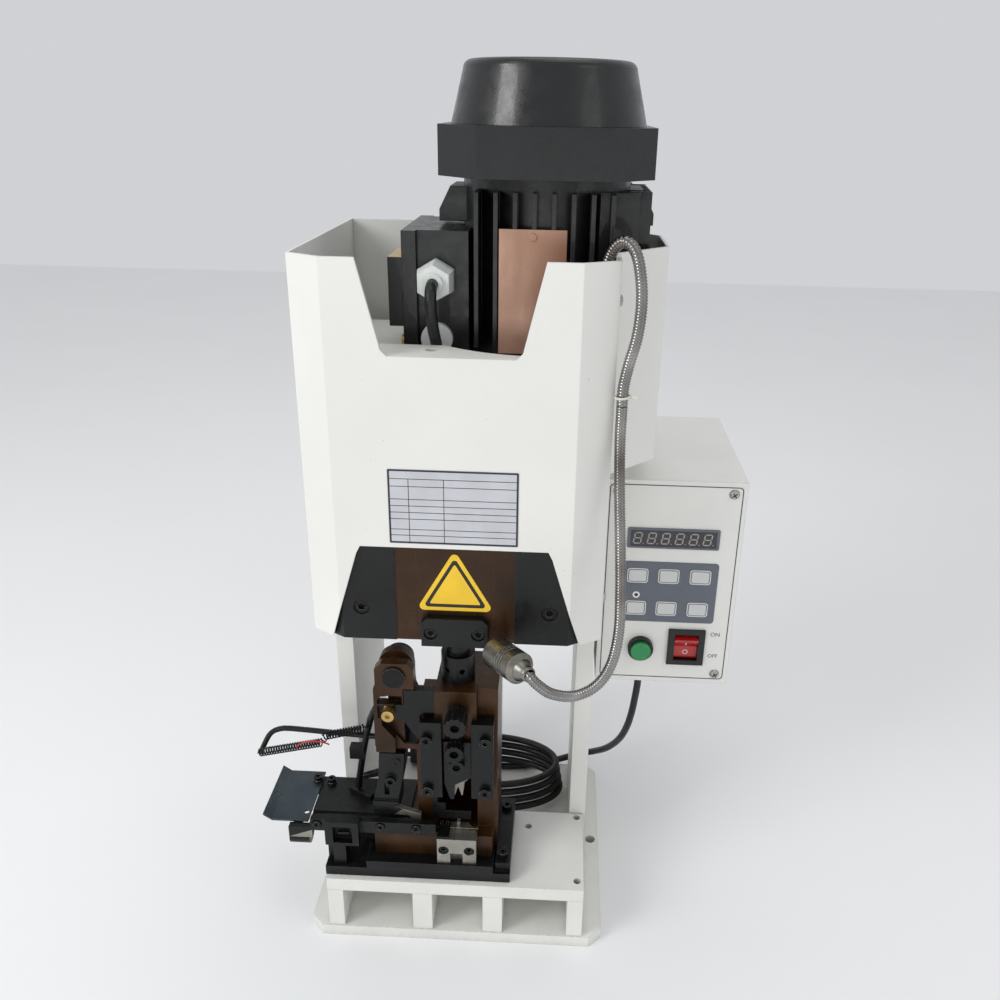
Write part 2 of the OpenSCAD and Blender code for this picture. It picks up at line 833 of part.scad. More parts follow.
module terminal_box_lid() {
  flange = tb_left - lid_flange_t;
  color(steel_black)
    difference() {
      union() {
        slab([flange, tb_left], [tb_front - lid_over, tb_back + lid_over], [tb_bottom, tb_top]);
        slab([flange - lid_pan_out, flange + over], [tb_front - lid_over + over, tb_back - lid_pan_inset],
          [lid_pan_low, lid_pan_high]);
      }
      slab([flange + tb_wall, tb_left + over], [tb_front + tb_wall, tb_back - tb_wall],
        [tb_bottom + tb_wall, tb_top - tb_wall]);
    }
  color([0.75, 0.6, 0.3])
    for (z = [tb_bottom + lid_screw_inset, tb_top - 3 * lid_screw_inset])
      for (y = [tb_front + over, tb_back - over])
        bar_x(y, z, [flange - lid_screw_d / 2, flange + over], lid_screw_head);
}

gland_x = -17.5;
gland_z = 526;
gland_thread_d = 16;
gland_hex_d = 29;
gland_turn = 30;
gland_nut_d = 25;
gland_base_t = 7;
gland_nut_t = 12;
gland_lip_d = 14;
gland_lip_t = 3;
module cable_gland() {
  face = tb_front - gland_base_t;
  nut = face - gland_nut_t;
  color([0.88, 0.9, 0.88])
    difference() {
      union() {
        bar_y(gland_x, gland_z, [tb_front, tb_front + tb_wall], gland_thread_d);
        translate([gland_x, tb_front, gland_z])
          rotate([90, gland_turn, 0])
            cylinder(d = gland_hex_d, h = gland_base_t, $fn = 6);
        translate([gland_x, face, gland_z])
          rotate([90, gland_turn, 0])
            cylinder(d1 = gland_hex_d, d2 = gland_nut_d, h = gland_nut_t, $fn = 6);
        bar_y(gland_x, gland_z, [nut - gland_lip_t, face + over], gland_lip_d);
      }
      bar_y(gland_x, gland_z, [nut - gland_lip_t - over, tb_front + tb_wall + over], motor_cable_d);
    }
}
plug_z = 484.5;
plug_d = 22.5;
plug_t = 5;
plug_slot_w = 2;
plug_slot_turn = -25;
module blind_plug() {
  color([0.85, 0.87, 0.86])
    difference() {
      union() {
        bar_y(gland_x, plug_z, [tb_front, tb_front + tb_wall], gland_thread_d);
        difference() {
          bar_y(gland_x, plug_z, [tb_front - plug_t, tb_front], plug_d);
          slab(both(gland_x, plug_d), [tb_front - plug_d, tb_front + over],
            [plug_z - plug_d, motor_floor + part_gap]);
        }
      }
      translate([gland_x, tb_front - plug_t, plug_z])
        rotate([0, plug_slot_turn, 0])
          slab([-plug_slot_w / 2, plug_slot_w / 2], [-over, over], [-plug_d / 3, plug_d / 3]);
    }
}

plate_left = 27;
plate_right = 72.5;
plate_low = 478.5;
plate_high = 563;
plate_t = 1;
rivet_d = 5;
module motor_nameplate() {
  y = motor_y - fin_reach;
  color([0.75, 0.5, 0.38]) {
    slab([plate_left, plate_right], [y - plate_t, y], [plate_low, plate_high]);
    for (z = [plate_low + rivet_d, plate_high - rivet_d])
      bar_y((plate_left + plate_right) / 2, z, [y - 2 * plate_t, y - plate_t + plate_t / 2], rivet_d);
  }
}

// a tube swept along its route: rings stand square to the route's direction at each point
function unit(v) = v / norm(v);
function route_dir(route, i) =
  i == 0 ? unit(route[1] - route[0]) :
  i == len(route) - 1 ? unit(route[i] - route[i - 1]) :
  unit(unit(route[i + 1] - route[i]) + unit(route[i] - route[i - 1]));
function side_of(d, ref) = unit(cross(d, ref));
function ring_points(route, i, r, sides, ref) = [
  for (k = [0 : sides - 1])
    let (d = route_dir(route, i), u = side_of(d, ref), w = cross(d, u), a = 360 * k / sides)
      route[i] + r * (cos(a) * u + sin(a) * w)
];
module tube(route, radii, sides, ref) {
  n = len(route);
  polyhedron(
    points = [for (i = [0 : n - 1]) each ring_points(route, i, radii[i], sides, ref)],
    faces = concat(
      [[for (k = [0 : sides - 1]) k]],
      [for (i = [0 : n - 2]) for (k = [0 : sides - 1]) let (a = i * sides, b = a + sides, m = (k + 1) % sides)
        each [[a + k, b + k, b + m], [a + k, b + m, a + m]]],
      [[for (k = [sides - 1 : -1 : 0]) (n - 1) * sides + k]]
    ),
    convexity = 8);
}
// smooth curve through the route's points, with steps parts to each stretch
function blend(a, b, c, d, t) =
  0.5 * (2 * b + (c - a) * t + (2 * a - 5 * b + 4 * c - d) * t * t + (3 * b - a - 3 * c + d) * t * t * t);
function smooth(route, steps) = [
  for (i = [0 : len(route) - 2])
    for (s = [0 : steps - 1])
      blend(route[max(i - 1, 0)], route[i], route[i + 1], route[min(i + 2, len(route) - 1)], s / steps),
  route[len(route) - 1]
];

cable_sides = 10;
cable_steps = 3;
motor_cable_route = [
  [-17.5, -14, 526], [-17.5, -30, 526], [-17.5, -45, 525], [-17.2, -51, 519], [-16.8, -51, 508], [-16.3, -46, 496],
  [-16, -37, 486], [-16, -31, 476], [-16, -29, 468], [-16, -29, 458], [-16, -29, 450]
];
module motor_cable() {
  route = smooth(motor_cable_route, cable_steps);
  color(dark_plastic)
    tube(route, [for (p = route) motor_cable_d / 2], cable_sides, [1, 0, 0]);
}

// counter box on the right side frame
panel_t = 2;
box_wall = 2;
panel_screw_d = 4;
panel_screw_head = 8.5;
panel_screw_left = box_x + 10.5;
panel_screw_right = box_x + box_w - 10.7;
panel_screw_low = box_z + 9.7;
panel_screw_high = box_z + box_h - 10;
bracket_low = [box_z + 16, box_z + 36];
bracket_high = [box_z + box_h - 42, box_z + box_h - 22];
bracket_y = [box_front + 15, box_front + 80];
cord_x = box_x + 40;
cord_y = box_front + 25;
cord_d = 6.5;
bushing_d = 12;
bushing_h = 8;
module control_box() {
  front = box_front + panel_t;
  back = box_front + box_d;
  color(steel_white)
    difference() {
      slab([box_x, box_x + box_w], [front, back], [box_z, box_z + box_h]);
      slab([box_x + box_wall, box_x + box_w - box_wall], [front - over, back - box_wall],
        [box_z + box_wall, box_z + box_h - box_wall]);
      bar_z(cord_x, cord_y, [box_z - over, box_z + box_wall + over], bushing_d);
    }
  color(steel_white)
    for (z = [bracket_low, bracket_high])
      slab([frame_outer, box_x + box_wall], bracket_y, z);
  color(dark_plastic)
    bar_z(cord_x, cord_y, [box_z - bushing_h, box_z + box_wall], bushing_d);
  color(steel_white)
    for (z = [panel_screw_low, panel_screw_high]) {
      slab([box_x + over, panel_screw_left + panel_screw_d], [front, front + bushing_d],
        both(z, panel_screw_d));
      slab([panel_screw_right - panel_screw_d, box_x + box_w - over], [front, front + bushing_d],
        both(z, panel_screw_d));
    }
}
button_x = box_x + 37;
button_z = box_z + 34;
button_hole_d = 19;
switch_x = box_x + 75.5;
switch_z = box_z + 36;
switch_hole_w = 25;
switch_hole_h = 28;
module control_panel() {
  color(steel_white)
    difference() {
      slab([box_x, box_x + box_w], [box_front, box_front + panel_t], [box_z, box_z + box_h]);
      bar_y(button_x, button_z, [box_front - over, box_front + panel_t + over], button_hole_d + 2 * part_gap);
      slab(both(switch_x, switch_hole_w / 2), [box_front - over, box_front + panel_t + over],
        both(switch_z, switch_hole_h / 2));
    }
}
module panel_screws() {
  color(steel_bare)
    for (x = [panel_screw_left, panel_screw_right])
      for (z = [panel_screw_low, panel_screw_high])
        translate([x, box_front, z])
          rotate([90, 0, 0])
            dome(panel_screw_head);
}
window_x = [box_x + 20, box_x + 94.5];
window_z = [box_z + 128.5, box_z + 146.5];
window_t = 1;
pad_x = [box_x + 19, box_x + 96.5];
pad_z = [box_z + 59.5, box_z + 116];
pad_t = 0.6;
key_w = 17;
key_h = 13;
key_rise = 0.6;
key_columns = [box_x + 30.5, box_x + 56, box_x + 82];
key_rows = [box_z + 72.5, box_z + 103];
lamp_mark_x = box_x + 30.3;
lamp_mark_z = box_z + 85;
lamp_mark_d = 6;
module membrane_panel() {
  color(dark_plastic) {
    slab(window_x, [box_front - window_t, box_front], window_z);
    slab(pad_x, [box_front - pad_t, box_front], pad_z);
    for (x = key_columns)
      for (z = key_rows)
        slab(both(x, key_w / 2), [box_front - pad_t - key_rise, box_front - pad_t / 2],
          both(z, key_h / 2));
    bar_y(lamp_mark_x, lamp_mark_z, [box_front - pad_t - key_rise, box_front - pad_t / 2], lamp_mark_d);
  }
}
button_d = 16;
button_out = 8;
button_in = 14;
button_travel = 3;
bezel_d = 21.5;
bezel_out = 5;
module button_bezel() {
  color(dark_plastic)
    difference() {
      union() {
        bar_y(button_x, button_z, [box_front - bezel_out, box_front], bezel_d, $fn = 48);
        bar_y(button_x, button_z, [box_front, box_front + button_in + 2 * button_travel], button_hole_d);
      }
      bar_y(button_x, button_z, [box_front - bezel_out - over, box_front + button_in + button_travel + over],
        button_hole_d - 2 * over, $fn = 48);
    }
}
module light_button() {
  inner = button_hole_d - 2 * over - 2 * turn_gap;
  color([0.05, 0.55, 0.25])
    bar_y(button_x, button_z, [box_front - button_out, box_front + button_in - over], inner, $fn = 48);
}
switch_bezel_w = 31;
switch_bezel_h = 34;
switch_bezel_t = 2.5;
switch_depth = 20;
rocker_w = 20;
rocker_h = 24;
rocker_axis_y = 8;
module switch_bezel() {
  color(dark_plastic)
    difference() {
      union() {
        slab(both(switch_x, switch_bezel_w / 2), [box_front - switch_bezel_t, box_front],
          both(switch_z, switch_bezel_h / 2));
        slab(both(switch_x, switch_hole_w / 2 - part_gap),
          [box_front, box_front + switch_depth],
          both(switch_z, switch_hole_h / 2 - part_gap));
      }
      slab(both(switch_x, rocker_w / 2 + turn_gap),
        [box_front - switch_bezel_t - over, box_front + switch_depth - over],
        both(switch_z, rocker_h / 2 + over / 2));
      rocker_pin(rocker_pin_l + part_gap, rocker_pin_d + 2 * turn_gap);
    }
}
rocker_pin_d = 4;
rocker_pin_l = 1.2;
// the rocker's stub pins, and their holes in the switch body
module rocker_pin(reach, d) {
  bar_x(box_front + rocker_axis_y, switch_z, both(switch_x, rocker_w / 2 + reach), d, $fn = 32);
}
rocker_flat = 4;
rocker_tip = 8.1;
rocker_shoulder = 11;
module power_rocker() {
  axis = box_front + rocker_axis_y;
  color([0.75, 0.08, 0.06])
    union() {
      plate_x([
        [axis + rocker_flat, switch_z - rocker_flat], [axis + rocker_flat, switch_z + rocker_flat],
        [axis - rocker_flat, switch_z + rocker_shoulder],
        [box_front - rocker_flat, switch_z + rocker_tip],
        [box_front + over / 2, switch_z],
        [box_front + over, switch_z - rocker_h / 2 + over / 2],
        [axis - rocker_flat, switch_z - rocker_h / 2 + over / 2]
      ], both(switch_x, rocker_w / 2));
      rocker_pin(rocker_pin_l, rocker_pin_d);
    }
}

// bendable lamp arm with its ribs, and the lamp head
rib_rise = 0.5;
rib_pitch = 5.6;
rib_sides = 8;
upper_route = [
  [97, -57, 470], [97, -57, 490], [97, -57, 515], [98, -58, 540], [102, -61, 555], [109, -65, 561],
  [116, -69, 555], [120, -71, 540], [121.5, -72, 522], [120, -72, 502], [116, -71.5, 484], [113.5, -71, 470],
  [113, -71, 462], [113, -71, 455]
];
lower_route = [
  [113, -71, 454.7], [113, -71, 448], [113, -73, 430], [114, -80, 400], [116, -90, 365], [117.5, -101, 332],
  [117.5, -110, 303], [113, -116, 280], [103, -120, 265], [88, -124, 259], [73, -127.5, 262.5],
  [63, -130, 271], [57, -128.2, 276.5], [54, -124.5, 277], [51.5, -121, 276.5]
];
function route_length(route, i) = i == 0 ? 0 : route_length(route, i - 1) + norm(route[i] - route[i - 1]);
module ribbed_arm(route, steps) {
  path = smooth(route, steps);
  radii = [for (i = [0 : len(path) - 1])
    i < 2 || i > len(path) - 3 ? arm_d / 2 - rib_rise : arm_d / 2 - (i % 2 == 0 ? rib_rise : 0)];
  tube(path, radii, rib_sides, [0.3, 1, 0.1]);
}
upper_steps = 5;
lower_steps = 7;
module gooseneck_upper() {
  color(steel_bare)
    ribbed_arm(upper_route, upper_steps);
}
module gooseneck_lower() {
  color(steel_bare)
    ribbed_arm(lower_route, lower_steps);
}
lamp_back = [51.5, -121, 276.5];
lamp_heading = 127;
lamp_dip = 96;
lamp_groove = 0.8;
lamp_groove_w = 1.2;
groove_pitch = 2.6;
lamp_grooves = 3;
lamp_cup = 6;
lamp_lip = 1.5;
lamp_round = 3;
module lamp_head() {
  color(steel_bare)
    translate(lamp_back)
      rotate([0, 0, lamp_heading])
        rotate([0, lamp_dip, 0])
          rotate_extrude($fn = 48)
            polygon(concat(
              [[0, 0], [lamp_d / 2 - lamp_round, 0], [lamp_d / 2, lamp_round]],
              [for (g = [0 : lamp_grooves - 1]) each [
                [lamp_d / 2, lamp_l / 3 + g * groove_pitch],
                [lamp_d / 2 - lamp_groove, lamp_l / 3 + g * groove_pitch],
                [lamp_d / 2 - lamp_groove, lamp_l / 3 + g * groove_pitch + lamp_groove_w],
                [lamp_d / 2, lamp_l / 3 + g * groove_pitch + lamp_groove_w]
              ]],
              [[lamp_d / 2, lamp_l], [lamp_d / 2 - lamp_lip, lamp_l],
                [lamp_d / 2 - 2 * lamp_lip, lamp_l - lamp_cup], [0, lamp_l - lamp_cup]]
            ));
}

// mains cord: down from the counter box, behind the right side frame and into the coil behind the applicator
cord_route = [
  [150, 40, 171], [150, 40, 160], [149, 41, 145], [147, 45, 122], [144, 54, 98], [139, 70, 72], [130, 90, 46],
  [118, 106, 28], [104, 113, 19], [88, 111, 14], [70, 104, 13.5], [50, 98, 13.5], [34, 95.3, 13.5], [22, 95, 13.5]
];
cord_sides = 8;
cord_steps = 3;
module power_cord() {
  route = smooth(cord_route, cord_steps);
  color(dark_plastic)
    tube(route, [for (p = route) cord_d / 2], cord_sides, [0.2, 1, 0.3]);
}
coil_loops = 4;
coil_rings = 24;
coil_mid = [22, 62];
coil_half_x = 63;
coil_half_y = 33;
coil_z = 13.5;
coil_pitch = 7.3;
coil_slip = [-1.5, 2.2];
coil_sides = 6;
tail_route = [
  [14, 103, 42.7], [5, 105, 42.4], [-4, 105.5, 40.5], [-13, 105.5, 36.5], [-21, 105, 31], [-28, 104.4, 27],
  [-33, 104, 25.3], [-37, 104, 25]
];
function coil_point(i) =
  let (turn = i / coil_rings, a = 90 + 360 * turn)
    [coil_mid[0] + coil_half_x * cos(a) + coil_slip[0] * turn,
      coil_mid[1] + coil_half_y * sin(a) + coil_slip[1] * turn, coil_z + coil_pitch * turn];
module cord_coil() {
  route = concat([for (i = [0 : coil_loops * coil_rings]) coil_point(i)], tail_route);
  color(dark_plastic)
    tube(route, [for (p = route) cord_d / 2], coil_sides, [0, 0, 1]);
}
plug_back = -37;
plug_l = 32;
plug_y = 104;
plug_half_y = 11.5;
plug_h = 30;
plug_cut = 5;
prong_d = 4.8;
prong_l = 18;
prong_pitch = 9.5;
module power_plug() {
  mid = base_t + plug_h / 2;
  color(dark_plastic)
    plate_x([
      [plug_y - plug_half_y, base_t + plug_cut], [plug_y - plug_half_y + plug_cut, base_t],
      [plug_y + plug_half_y - plug_cut, base_t], [plug_y + plug_half_y, base_t + plug_cut],
      [plug_y + plug_half_y, base_t + plug_h - plug_cut], [plug_y + plug_half_y - plug_cut, base_t + plug_h],
      [plug_y - plug_half_y + plug_cut, base_t + plug_h], [plug_y - plug_half_y, base_t + plug_h - plug_cut]
    ], [plug_back - plug_l, plug_back]);
  color(steel_bare)
    for (side = [-1, 1])
      bar_x(plug_y, mid + side * prong_pitch, [plug_back - plug_l - prong_l, plug_back - plug_l + over], prong_d);
}

// applicator
tool_floor = table_top + tool_base_t;
plinth_h = 7;
plinth_top = tool_floor + plinth_h;
plinth_x = [-71.5, 30.5];
clamp_left = 32.1;
clamp_y = [-97, -22];
clamp_h = 8;
clamp_top = tool_floor + clamp_h;
clamp_screw_d = 5;
clamp_screw_y = [-88, -34];
clamp_screw_x = 37.5;
module applicator_base() {
  color(steel_black)
    difference() {
      union() {
        slab([tool_left, tool_right], [tool_front, tool_back], [table_top, tool_floor]);
        slab(plinth_x, [tool_front + part_gap, tool_back], [tool_floor - over, plinth_top]);
        slab([clamp_left, tool_right], clamp_y, [tool_floor - over, clamp_top]);
      }
      for (y = clamp_screw_y)
        bar_z(clamp_screw_x, y, [tool_floor - clamp_screw_d, clamp_top + over], clamp_screw_d + part_gap);
    }
}

wall_out = 32;
wall_y = [-77, -26];
rear_wall_front = -36;
left_wall_top = 200;
foot_x = [-66, 29];
foot_front = -89.5;
foot_top = 95.5;
anvil_x = [-14.5, 16.8];
anvil_y = [-98.5, -78.5];
anvil_top = 99.2;
anvil_screw_x = [-9.3, 11.2];
anvil_screw_z = 88;
anvil_screw_d = 4.4;
anvil_screw_sink = 5;
anvil_screw_grip = 20;
guide_x = [-21.7, 23.3];
guide_screw_z = [142, 190];
guide_screw_d = 5;
guide_screw_grip = [18, 5.5];
guide_y = [-90, -84.05];
guide_left = [-27, -10.5];
guide_right = [12.5, 29.5];
guide_z = [134, 204.5];
ram_room = tool_ram_half + slide_gap;
arm_y = [-84, -76];
arm_outline = [[-62.6, 170.5], [-27.2, 170.5], [-27.2, 179], [-17, 179], [-17, 229], [-31.5, 229], [-31.5, 247],
  [-36, 252], [-56, 252], [-61, 247], [-61, 229], [-62.6, 229]];
cam_room_x = [-47.2, -16.5];
cam_room_upper = -40;
cam_room_y = -78.5;
cam_room_z = [165, 216, 230];
arm_pocket = [[-57, 203], [-57, 196], [-40.5, 175], [-31, 174.8], [-28.5, 178], [-28.5, 203]];
arm_window = [[-60, 215.6], [-60, 219], [-57, 222.5], [-50.5, 223.5], [-40.8, 223.5], [-40.8, 215.6]];
stud_room_x = [-60, -45.5];
stud_room_z = [202.5, 214.2];
ear_plate_y = [-68, -60];
ear_arch_d = 27;
ear_outline = [[-17, 190], [-17, 216], [-26, 216], [-31.5, 217.5], [-33.3, 222], [-33.8, 228], [-33.8, 240.5],
  [-60.4, 240.5], [-58, 226], [-50, 207], [-32, 190]];
pin_d = 12;
pin_head_d = 17.5;
pin_head_t = 2;
pin_cap_d = 22;
pin_cap_t = 7;
module applicator_frame() {
  color(steel_brown)
    difference() {
      union() {
        slab([-wall_out, wall_out], wall_y, [plinth_top, left_wall_top]);
        slab([-tool_ram_half, wall_out], [rear_wall_front, wall_y[1]], [left_wall_top - over, tool_top]);
        slab([ram_room, wall_out], wall_y, [left_wall_top - over, tool_top]);
        slab(foot_x, [foot_front, wall_y[0] + over], [plinth_top, foot_top]);
        slab([foot_x[0], over - wall_out], wall_y, [plinth_top, foot_top]);
        plate_y(arm_outline, arm_y);
        plate_y(ear_outline, ear_plate_y);
        bar_y(pivot_x - over, pivot_z, ear_plate_y, ear_arch_d, $fn = 48);
      }
      slab([-ram_room, ram_room], [wall_y[0] - over, rear_wall_front], [foot_top, tool_top + over]);
      slab([anvil_x[0] - part_gap, anvil_x[1] + part_gap], [foot_front - over, anvil_y[1] + part_gap],
        [plinth_top - over, foot_top + over]);
      slab(cam_room_x, [arm_y[0] - over, cam_room_y], [cam_room_z[0], cam_room_z[1]]);
      slab([cam_room_upper, cam_room_x[1]], [arm_y[0] - over, cam_room_y], [cam_room_z[1] - over, cam_room_z[2]]);
      plate_y(arm_pocket, [arm_y[0] - over, arm_y[1] + over]);
      plate_y(arm_window, [arm_y[0] - over, arm_y[1] + over]);
      slab(stud_room_x, [arm_y[0] - over, arm_y[1] + over], stud_room_z);
      bar_y(pivot_x, pivot_z, [arm_y[0] - over, ear_plate_y[1] + over], pin_d + part_gap, $fn = 48);
      for (x = anvil_screw_x)
        bar_y(x, anvil_screw_z, [anvil_y[1] - over, anvil_y[0] + anvil_screw_sink + anvil_screw_grip + over],
          anvil_screw_d + part_gap);
      for (i = [0, 1])
        bar_y(guide_x[i], guide_screw_z[0], [wall_y[0] - over, guide_y[0] + guide_screw_grip[0] + over],
          guide_screw_d + part_gap);
      bar_y(guide_x[1], guide_screw_z[1], [wall_y[0] - over, guide_y[0] + guide_screw_grip[0] + over],
        guide_screw_d + part_gap);
    }
}

left_pad_top = 175.5;
drag_y = [-79.5, -77.05];
drag_x = [-19, 11];
drag_z = [103.5, 111.5];
drag_neck_x = [-18, -9.6];
drag_neck_top = 119;
drag_stem_x = [-20, -16.1];
module guide_bars() {
  color(steel_black)
    difference() {
      union() {
        slab(guide_left, guide_y, guide_z);
        slab([guide_left[0], -ram_room], [guide_y[1] - over, wall_y[0]], [guide_z[0], left_pad_top]);
        slab(guide_right, guide_y, guide_z);
        slab([ram_room, guide_right[1]], [guide_y[1] - over, wall_y[0]], guide_z);
        slab(drag_x, drag_y, drag_z);
        slab(drag_neck_x, drag_y, [drag_z[1] - over, drag_neck_top]);
        slab(drag_stem_x, drag_y, [drag_z[1] - over, guide_z[0] + over]);
      }
      for (x = guide_x)
        for (z = guide_screw_z)
          bar_y(x, z, [guide_y[0] - over, wall_y[0] + over], guide_screw_d + part_gap);
    }
}
rail_screw_x = [-111.6, -60.3, -31.5];
rail_screw_z = 104;
rail_screw_d = 4;
rail_screw_grip = 3.4;
rail_y = [-93, -87.5];
tray_t = 1.5;
tray_screw_x = [-124, -112.5];
tray_screw_y = -39.5;
tray_screw_d = 4;
tray_screw_grip = 5;
washer_t = 1.5;
washer_d = 8.2;
module applicator_screws() {
  color(steel_black) {
    for (i = [0, 1])
      for (j = [0, 1])
        front_screw(guide_x[i], guide_screw_z[j], guide_y[0], guide_screw_d, guide_screw_grip[(1 - i) * j]);
    for (x = anvil_screw_x)
      front_screw(x, anvil_screw_z, anvil_y[0] + anvil_screw_sink, anvil_screw_d, anvil_screw_grip);
    for (x = rail_screw_x)
      front_screw(x, rail_screw_z, rail_y[0] + rail_screw_d / 2, rail_screw_d, rail_screw_grip);
    for (y = clamp_screw_y)
      top_screw(clamp_screw_x, y, clamp_top, clamp_screw_d, clamp_screw_d);
    for (i = [0, 1]) {
      seat = track_z + (1 - i) * tray_t;
      bar_z(tray_screw_x[i], tray_screw_y, [seat, seat + washer_t], washer_d);
      top_screw(tray_screw_x[i], tray_screw_y, seat + washer_t, tray_screw_d, tray_screw_grip);
    }
    bar_y(pivot_x, pivot_z, [arm_y[0] - over, ear_plate_y[1] + over], pin_d, $fn = 48);
    bar_y(pivot_x, pivot_z, [arm_y[0] - pin_head_t, arm_y[0]], pin_head_d);
    bar_y(pivot_x, pivot_z, [ear_plate_y[1], ear_plate_y[1] + pin_cap_t], pin_cap_d);
  }
}

tool_ram_low = 186;
ram_tongue_low = 150;
ram_tongue_front = -78;
post_root = 15;
module applicator_ram() {
  color(steel_brown)
    difference() {
      slab([-tool_ram_half, tool_ram_half], [tool_ram_front, rear_wall_front - slide_gap], [ram_tongue_low, tool_top]);
      slab([-tool_ram_half - over, tool_ram_half + over], [tool_ram_front - over, ram_tongue_front],
        [ram_tongue_low - over, tool_ram_low]);
      bar_y(wire_dial_x, wire_dial_z, [tool_ram_front - over, tool_ram_front + 2 * dial_stem_l],
        dial_stem_d + 2 * turn_gap);
      bar_z(0, post_y, [tool_top - post_root, tool_top + over], post_d);
    }
}
ring_h = 23.5;
ring_hole_d = 4.5;
ring_hole_turn = [-35, 20];
post_head_h = 8;
post_head_d = 23.5;
module ram_post() {
  head_low = head_bottom + slot_neck_h + part_gap;
  color(steel_black)
    difference() {
      union() {
        bar_z(0, post_y, [tool_top - post_root, head_low + over], post_d);
        bar_z(0, post_y, [tool_top, tool_top + ring_h], ring_d, $fn = 48);
        bar_z(0, post_y, [head_low, head_low + post_head_h], post_head_d, $fn = 48);
      }
      for (turn = ring_hole_turn)
        translate([0, post_y, tool_top + ring_h / 2])
          rotate([90, 0, turn])
            translate([0, 0, ring_d / 4])
              cylinder(d = ring_hole_d, h = ring_d);
    }
}
wire_dial_x = 1.8;
wire_dial_z = 211.5;
wire_dial_front = -105;
insulation_dial_x = 0.5;
insulation_dial_z = 184.5;
insulation_dial_front = -101;
small_dial_share = 0.85;
dial_taper_share = 0.85;
dial_stem_l = 3.5;
dial_stem_d = 4;
dial_key_d = 7;
dial_key_l = 5;
dial_knurls = 12;
knurl_depth = 0.7;
dial_step = 5;
// a knurled setting dial whose stem turns in the piece behind it
module dial(x, z, d, front, seat) {
  difference() {
    union() {
      bar_y(x, z, [front, seat - dial_step], d);
      bar_y(x, z, [seat - dial_step - over, seat - turn_gap], d * dial_taper_share);
      bar_y(x, z, [seat - over, seat + dial_stem_l], dial_stem_d);
    }
    bar_y(x, z, [front - over, front + dial_key_l], dial_key_d);
    for (k = [0 : dial_knurls - 1])
      translate([x, 0, z])
        rotate([0, k * 360 / dial_knurls, 0])
          slab([-knurl_depth, knurl_depth], [front - over, seat - dial_step - over], [d / 2 - knurl_depth, d]);
  }
}
module wire_dial() {
  color(steel_black)
    dial(wire_dial_x, wire_dial_z, dial_d, wire_dial_front, tool_ram_front);
}
punch_x = [-9, 12];
punch_front = -88;
punch_low = 160;
punch_lip_x = [-4, 5];
punch_lip_top = 190;
blade_back = -84;
blade_outline = [[-9, 161], [12, 161], [12, 152.5], [-1, 145], [-1.5, 131], [-4.5, 131], [-8, 143], [-9, 147]];
crimp_back = -80;
crimp_outline = [[-1.5, 161], [12, 161], [12, 150], [6.6, 145], [4.9, 131.8], [3.9, 131.8], [2.2, 138],
  [1.35, 140], [0.5, 138], [-1.2, 131.8], [-2.2, 131.5], [-1.5, 145]];
punch_screw_x = 1.3;
punch_screw_z = 166;
punch_screw_d = 7;
module insulation_dial() {
  color(steel_black)
    dial(insulation_dial_x, insulation_dial_z, dial_d * small_dial_share, insulation_dial_front, punch_front);
}
module crimp_punch() {
  color(steel_black) {
    difference() {
      union() {
        slab(punch_x, [punch_front, ram_tongue_front], [punch_low, tool_ram_low - slide_gap]);
        slab(punch_lip_x, [punch_front, tool_ram_front - slide_gap], [tool_ram_low - over, punch_lip_top]);
      }
      bar_y(insulation_dial_x, insulation_dial_z, [punch_front - over, tool_ram_front + over],
        dial_stem_d + 2 * turn_gap);
    }
    plate_y(blade_outline, [punch_front, blade_back]);
    front_screw(punch_screw_x, punch_screw_z, punch_front, punch_screw_d, punch_screw_d);
  }
  color(steel_bare)
    plate_y(crimp_outline, [blade_back, crimp_back]);
}
anvil_notch_x = [-4, 6];
anvil_notch_top = 85.3;
anvil_notch_depth = 5;
crimp_pin_x = [0.1, 2.6];
crimp_pin_y = [-84.3, -80];
crimp_pin_top = 104.5;
anvil_cut = [[8, -77.5], [17.8, -77.5], [17.8, -90]];
anvil_cut_low = 95;
module crimp_anvil() {
  color(steel_bare)
    difference() {
      union() {
        slab(anvil_x, anvil_y, [plinth_top, anvil_top]);
        slab(crimp_pin_x, crimp_pin_y, [anvil_top - over, crimp_pin_top]);
      }
      slab(anvil_notch_x, [anvil_y[0] - over, anvil_y[0] + anvil_notch_depth], [plinth_top - over, anvil_notch_top]);
      plate_z(anvil_cut, [anvil_cut_low, anvil_top + over]);
      for (x = anvil_screw_x) {
        bar_y(x, anvil_screw_z, [anvil_y[0] - over, anvil_y[1] + over], anvil_screw_d + part_gap);
        bar_y(x, anvil_screw_z, [anvil_y[0] - over, anvil_y[0] + anvil_screw_sink], anvil_screw_d * head_share + over);
      }
    }
}

cam_y = [-83.9, -79];
cam_outline = [[-16, 229], [-39.4, 229], [-39.4, 215.5], [-46.4, 215.3], [-45.9, 203], [-39.7, 200.5],
  [-33, 190], [-29.6, 186], [-27.6, 186], [-27.6, 206], [-24.5, 209.5], [-16, 209.5]];
module cam_plate() {
  color([0.1, 0.13, 0.14])
    plate_y(cam_outline, cam_y);
}

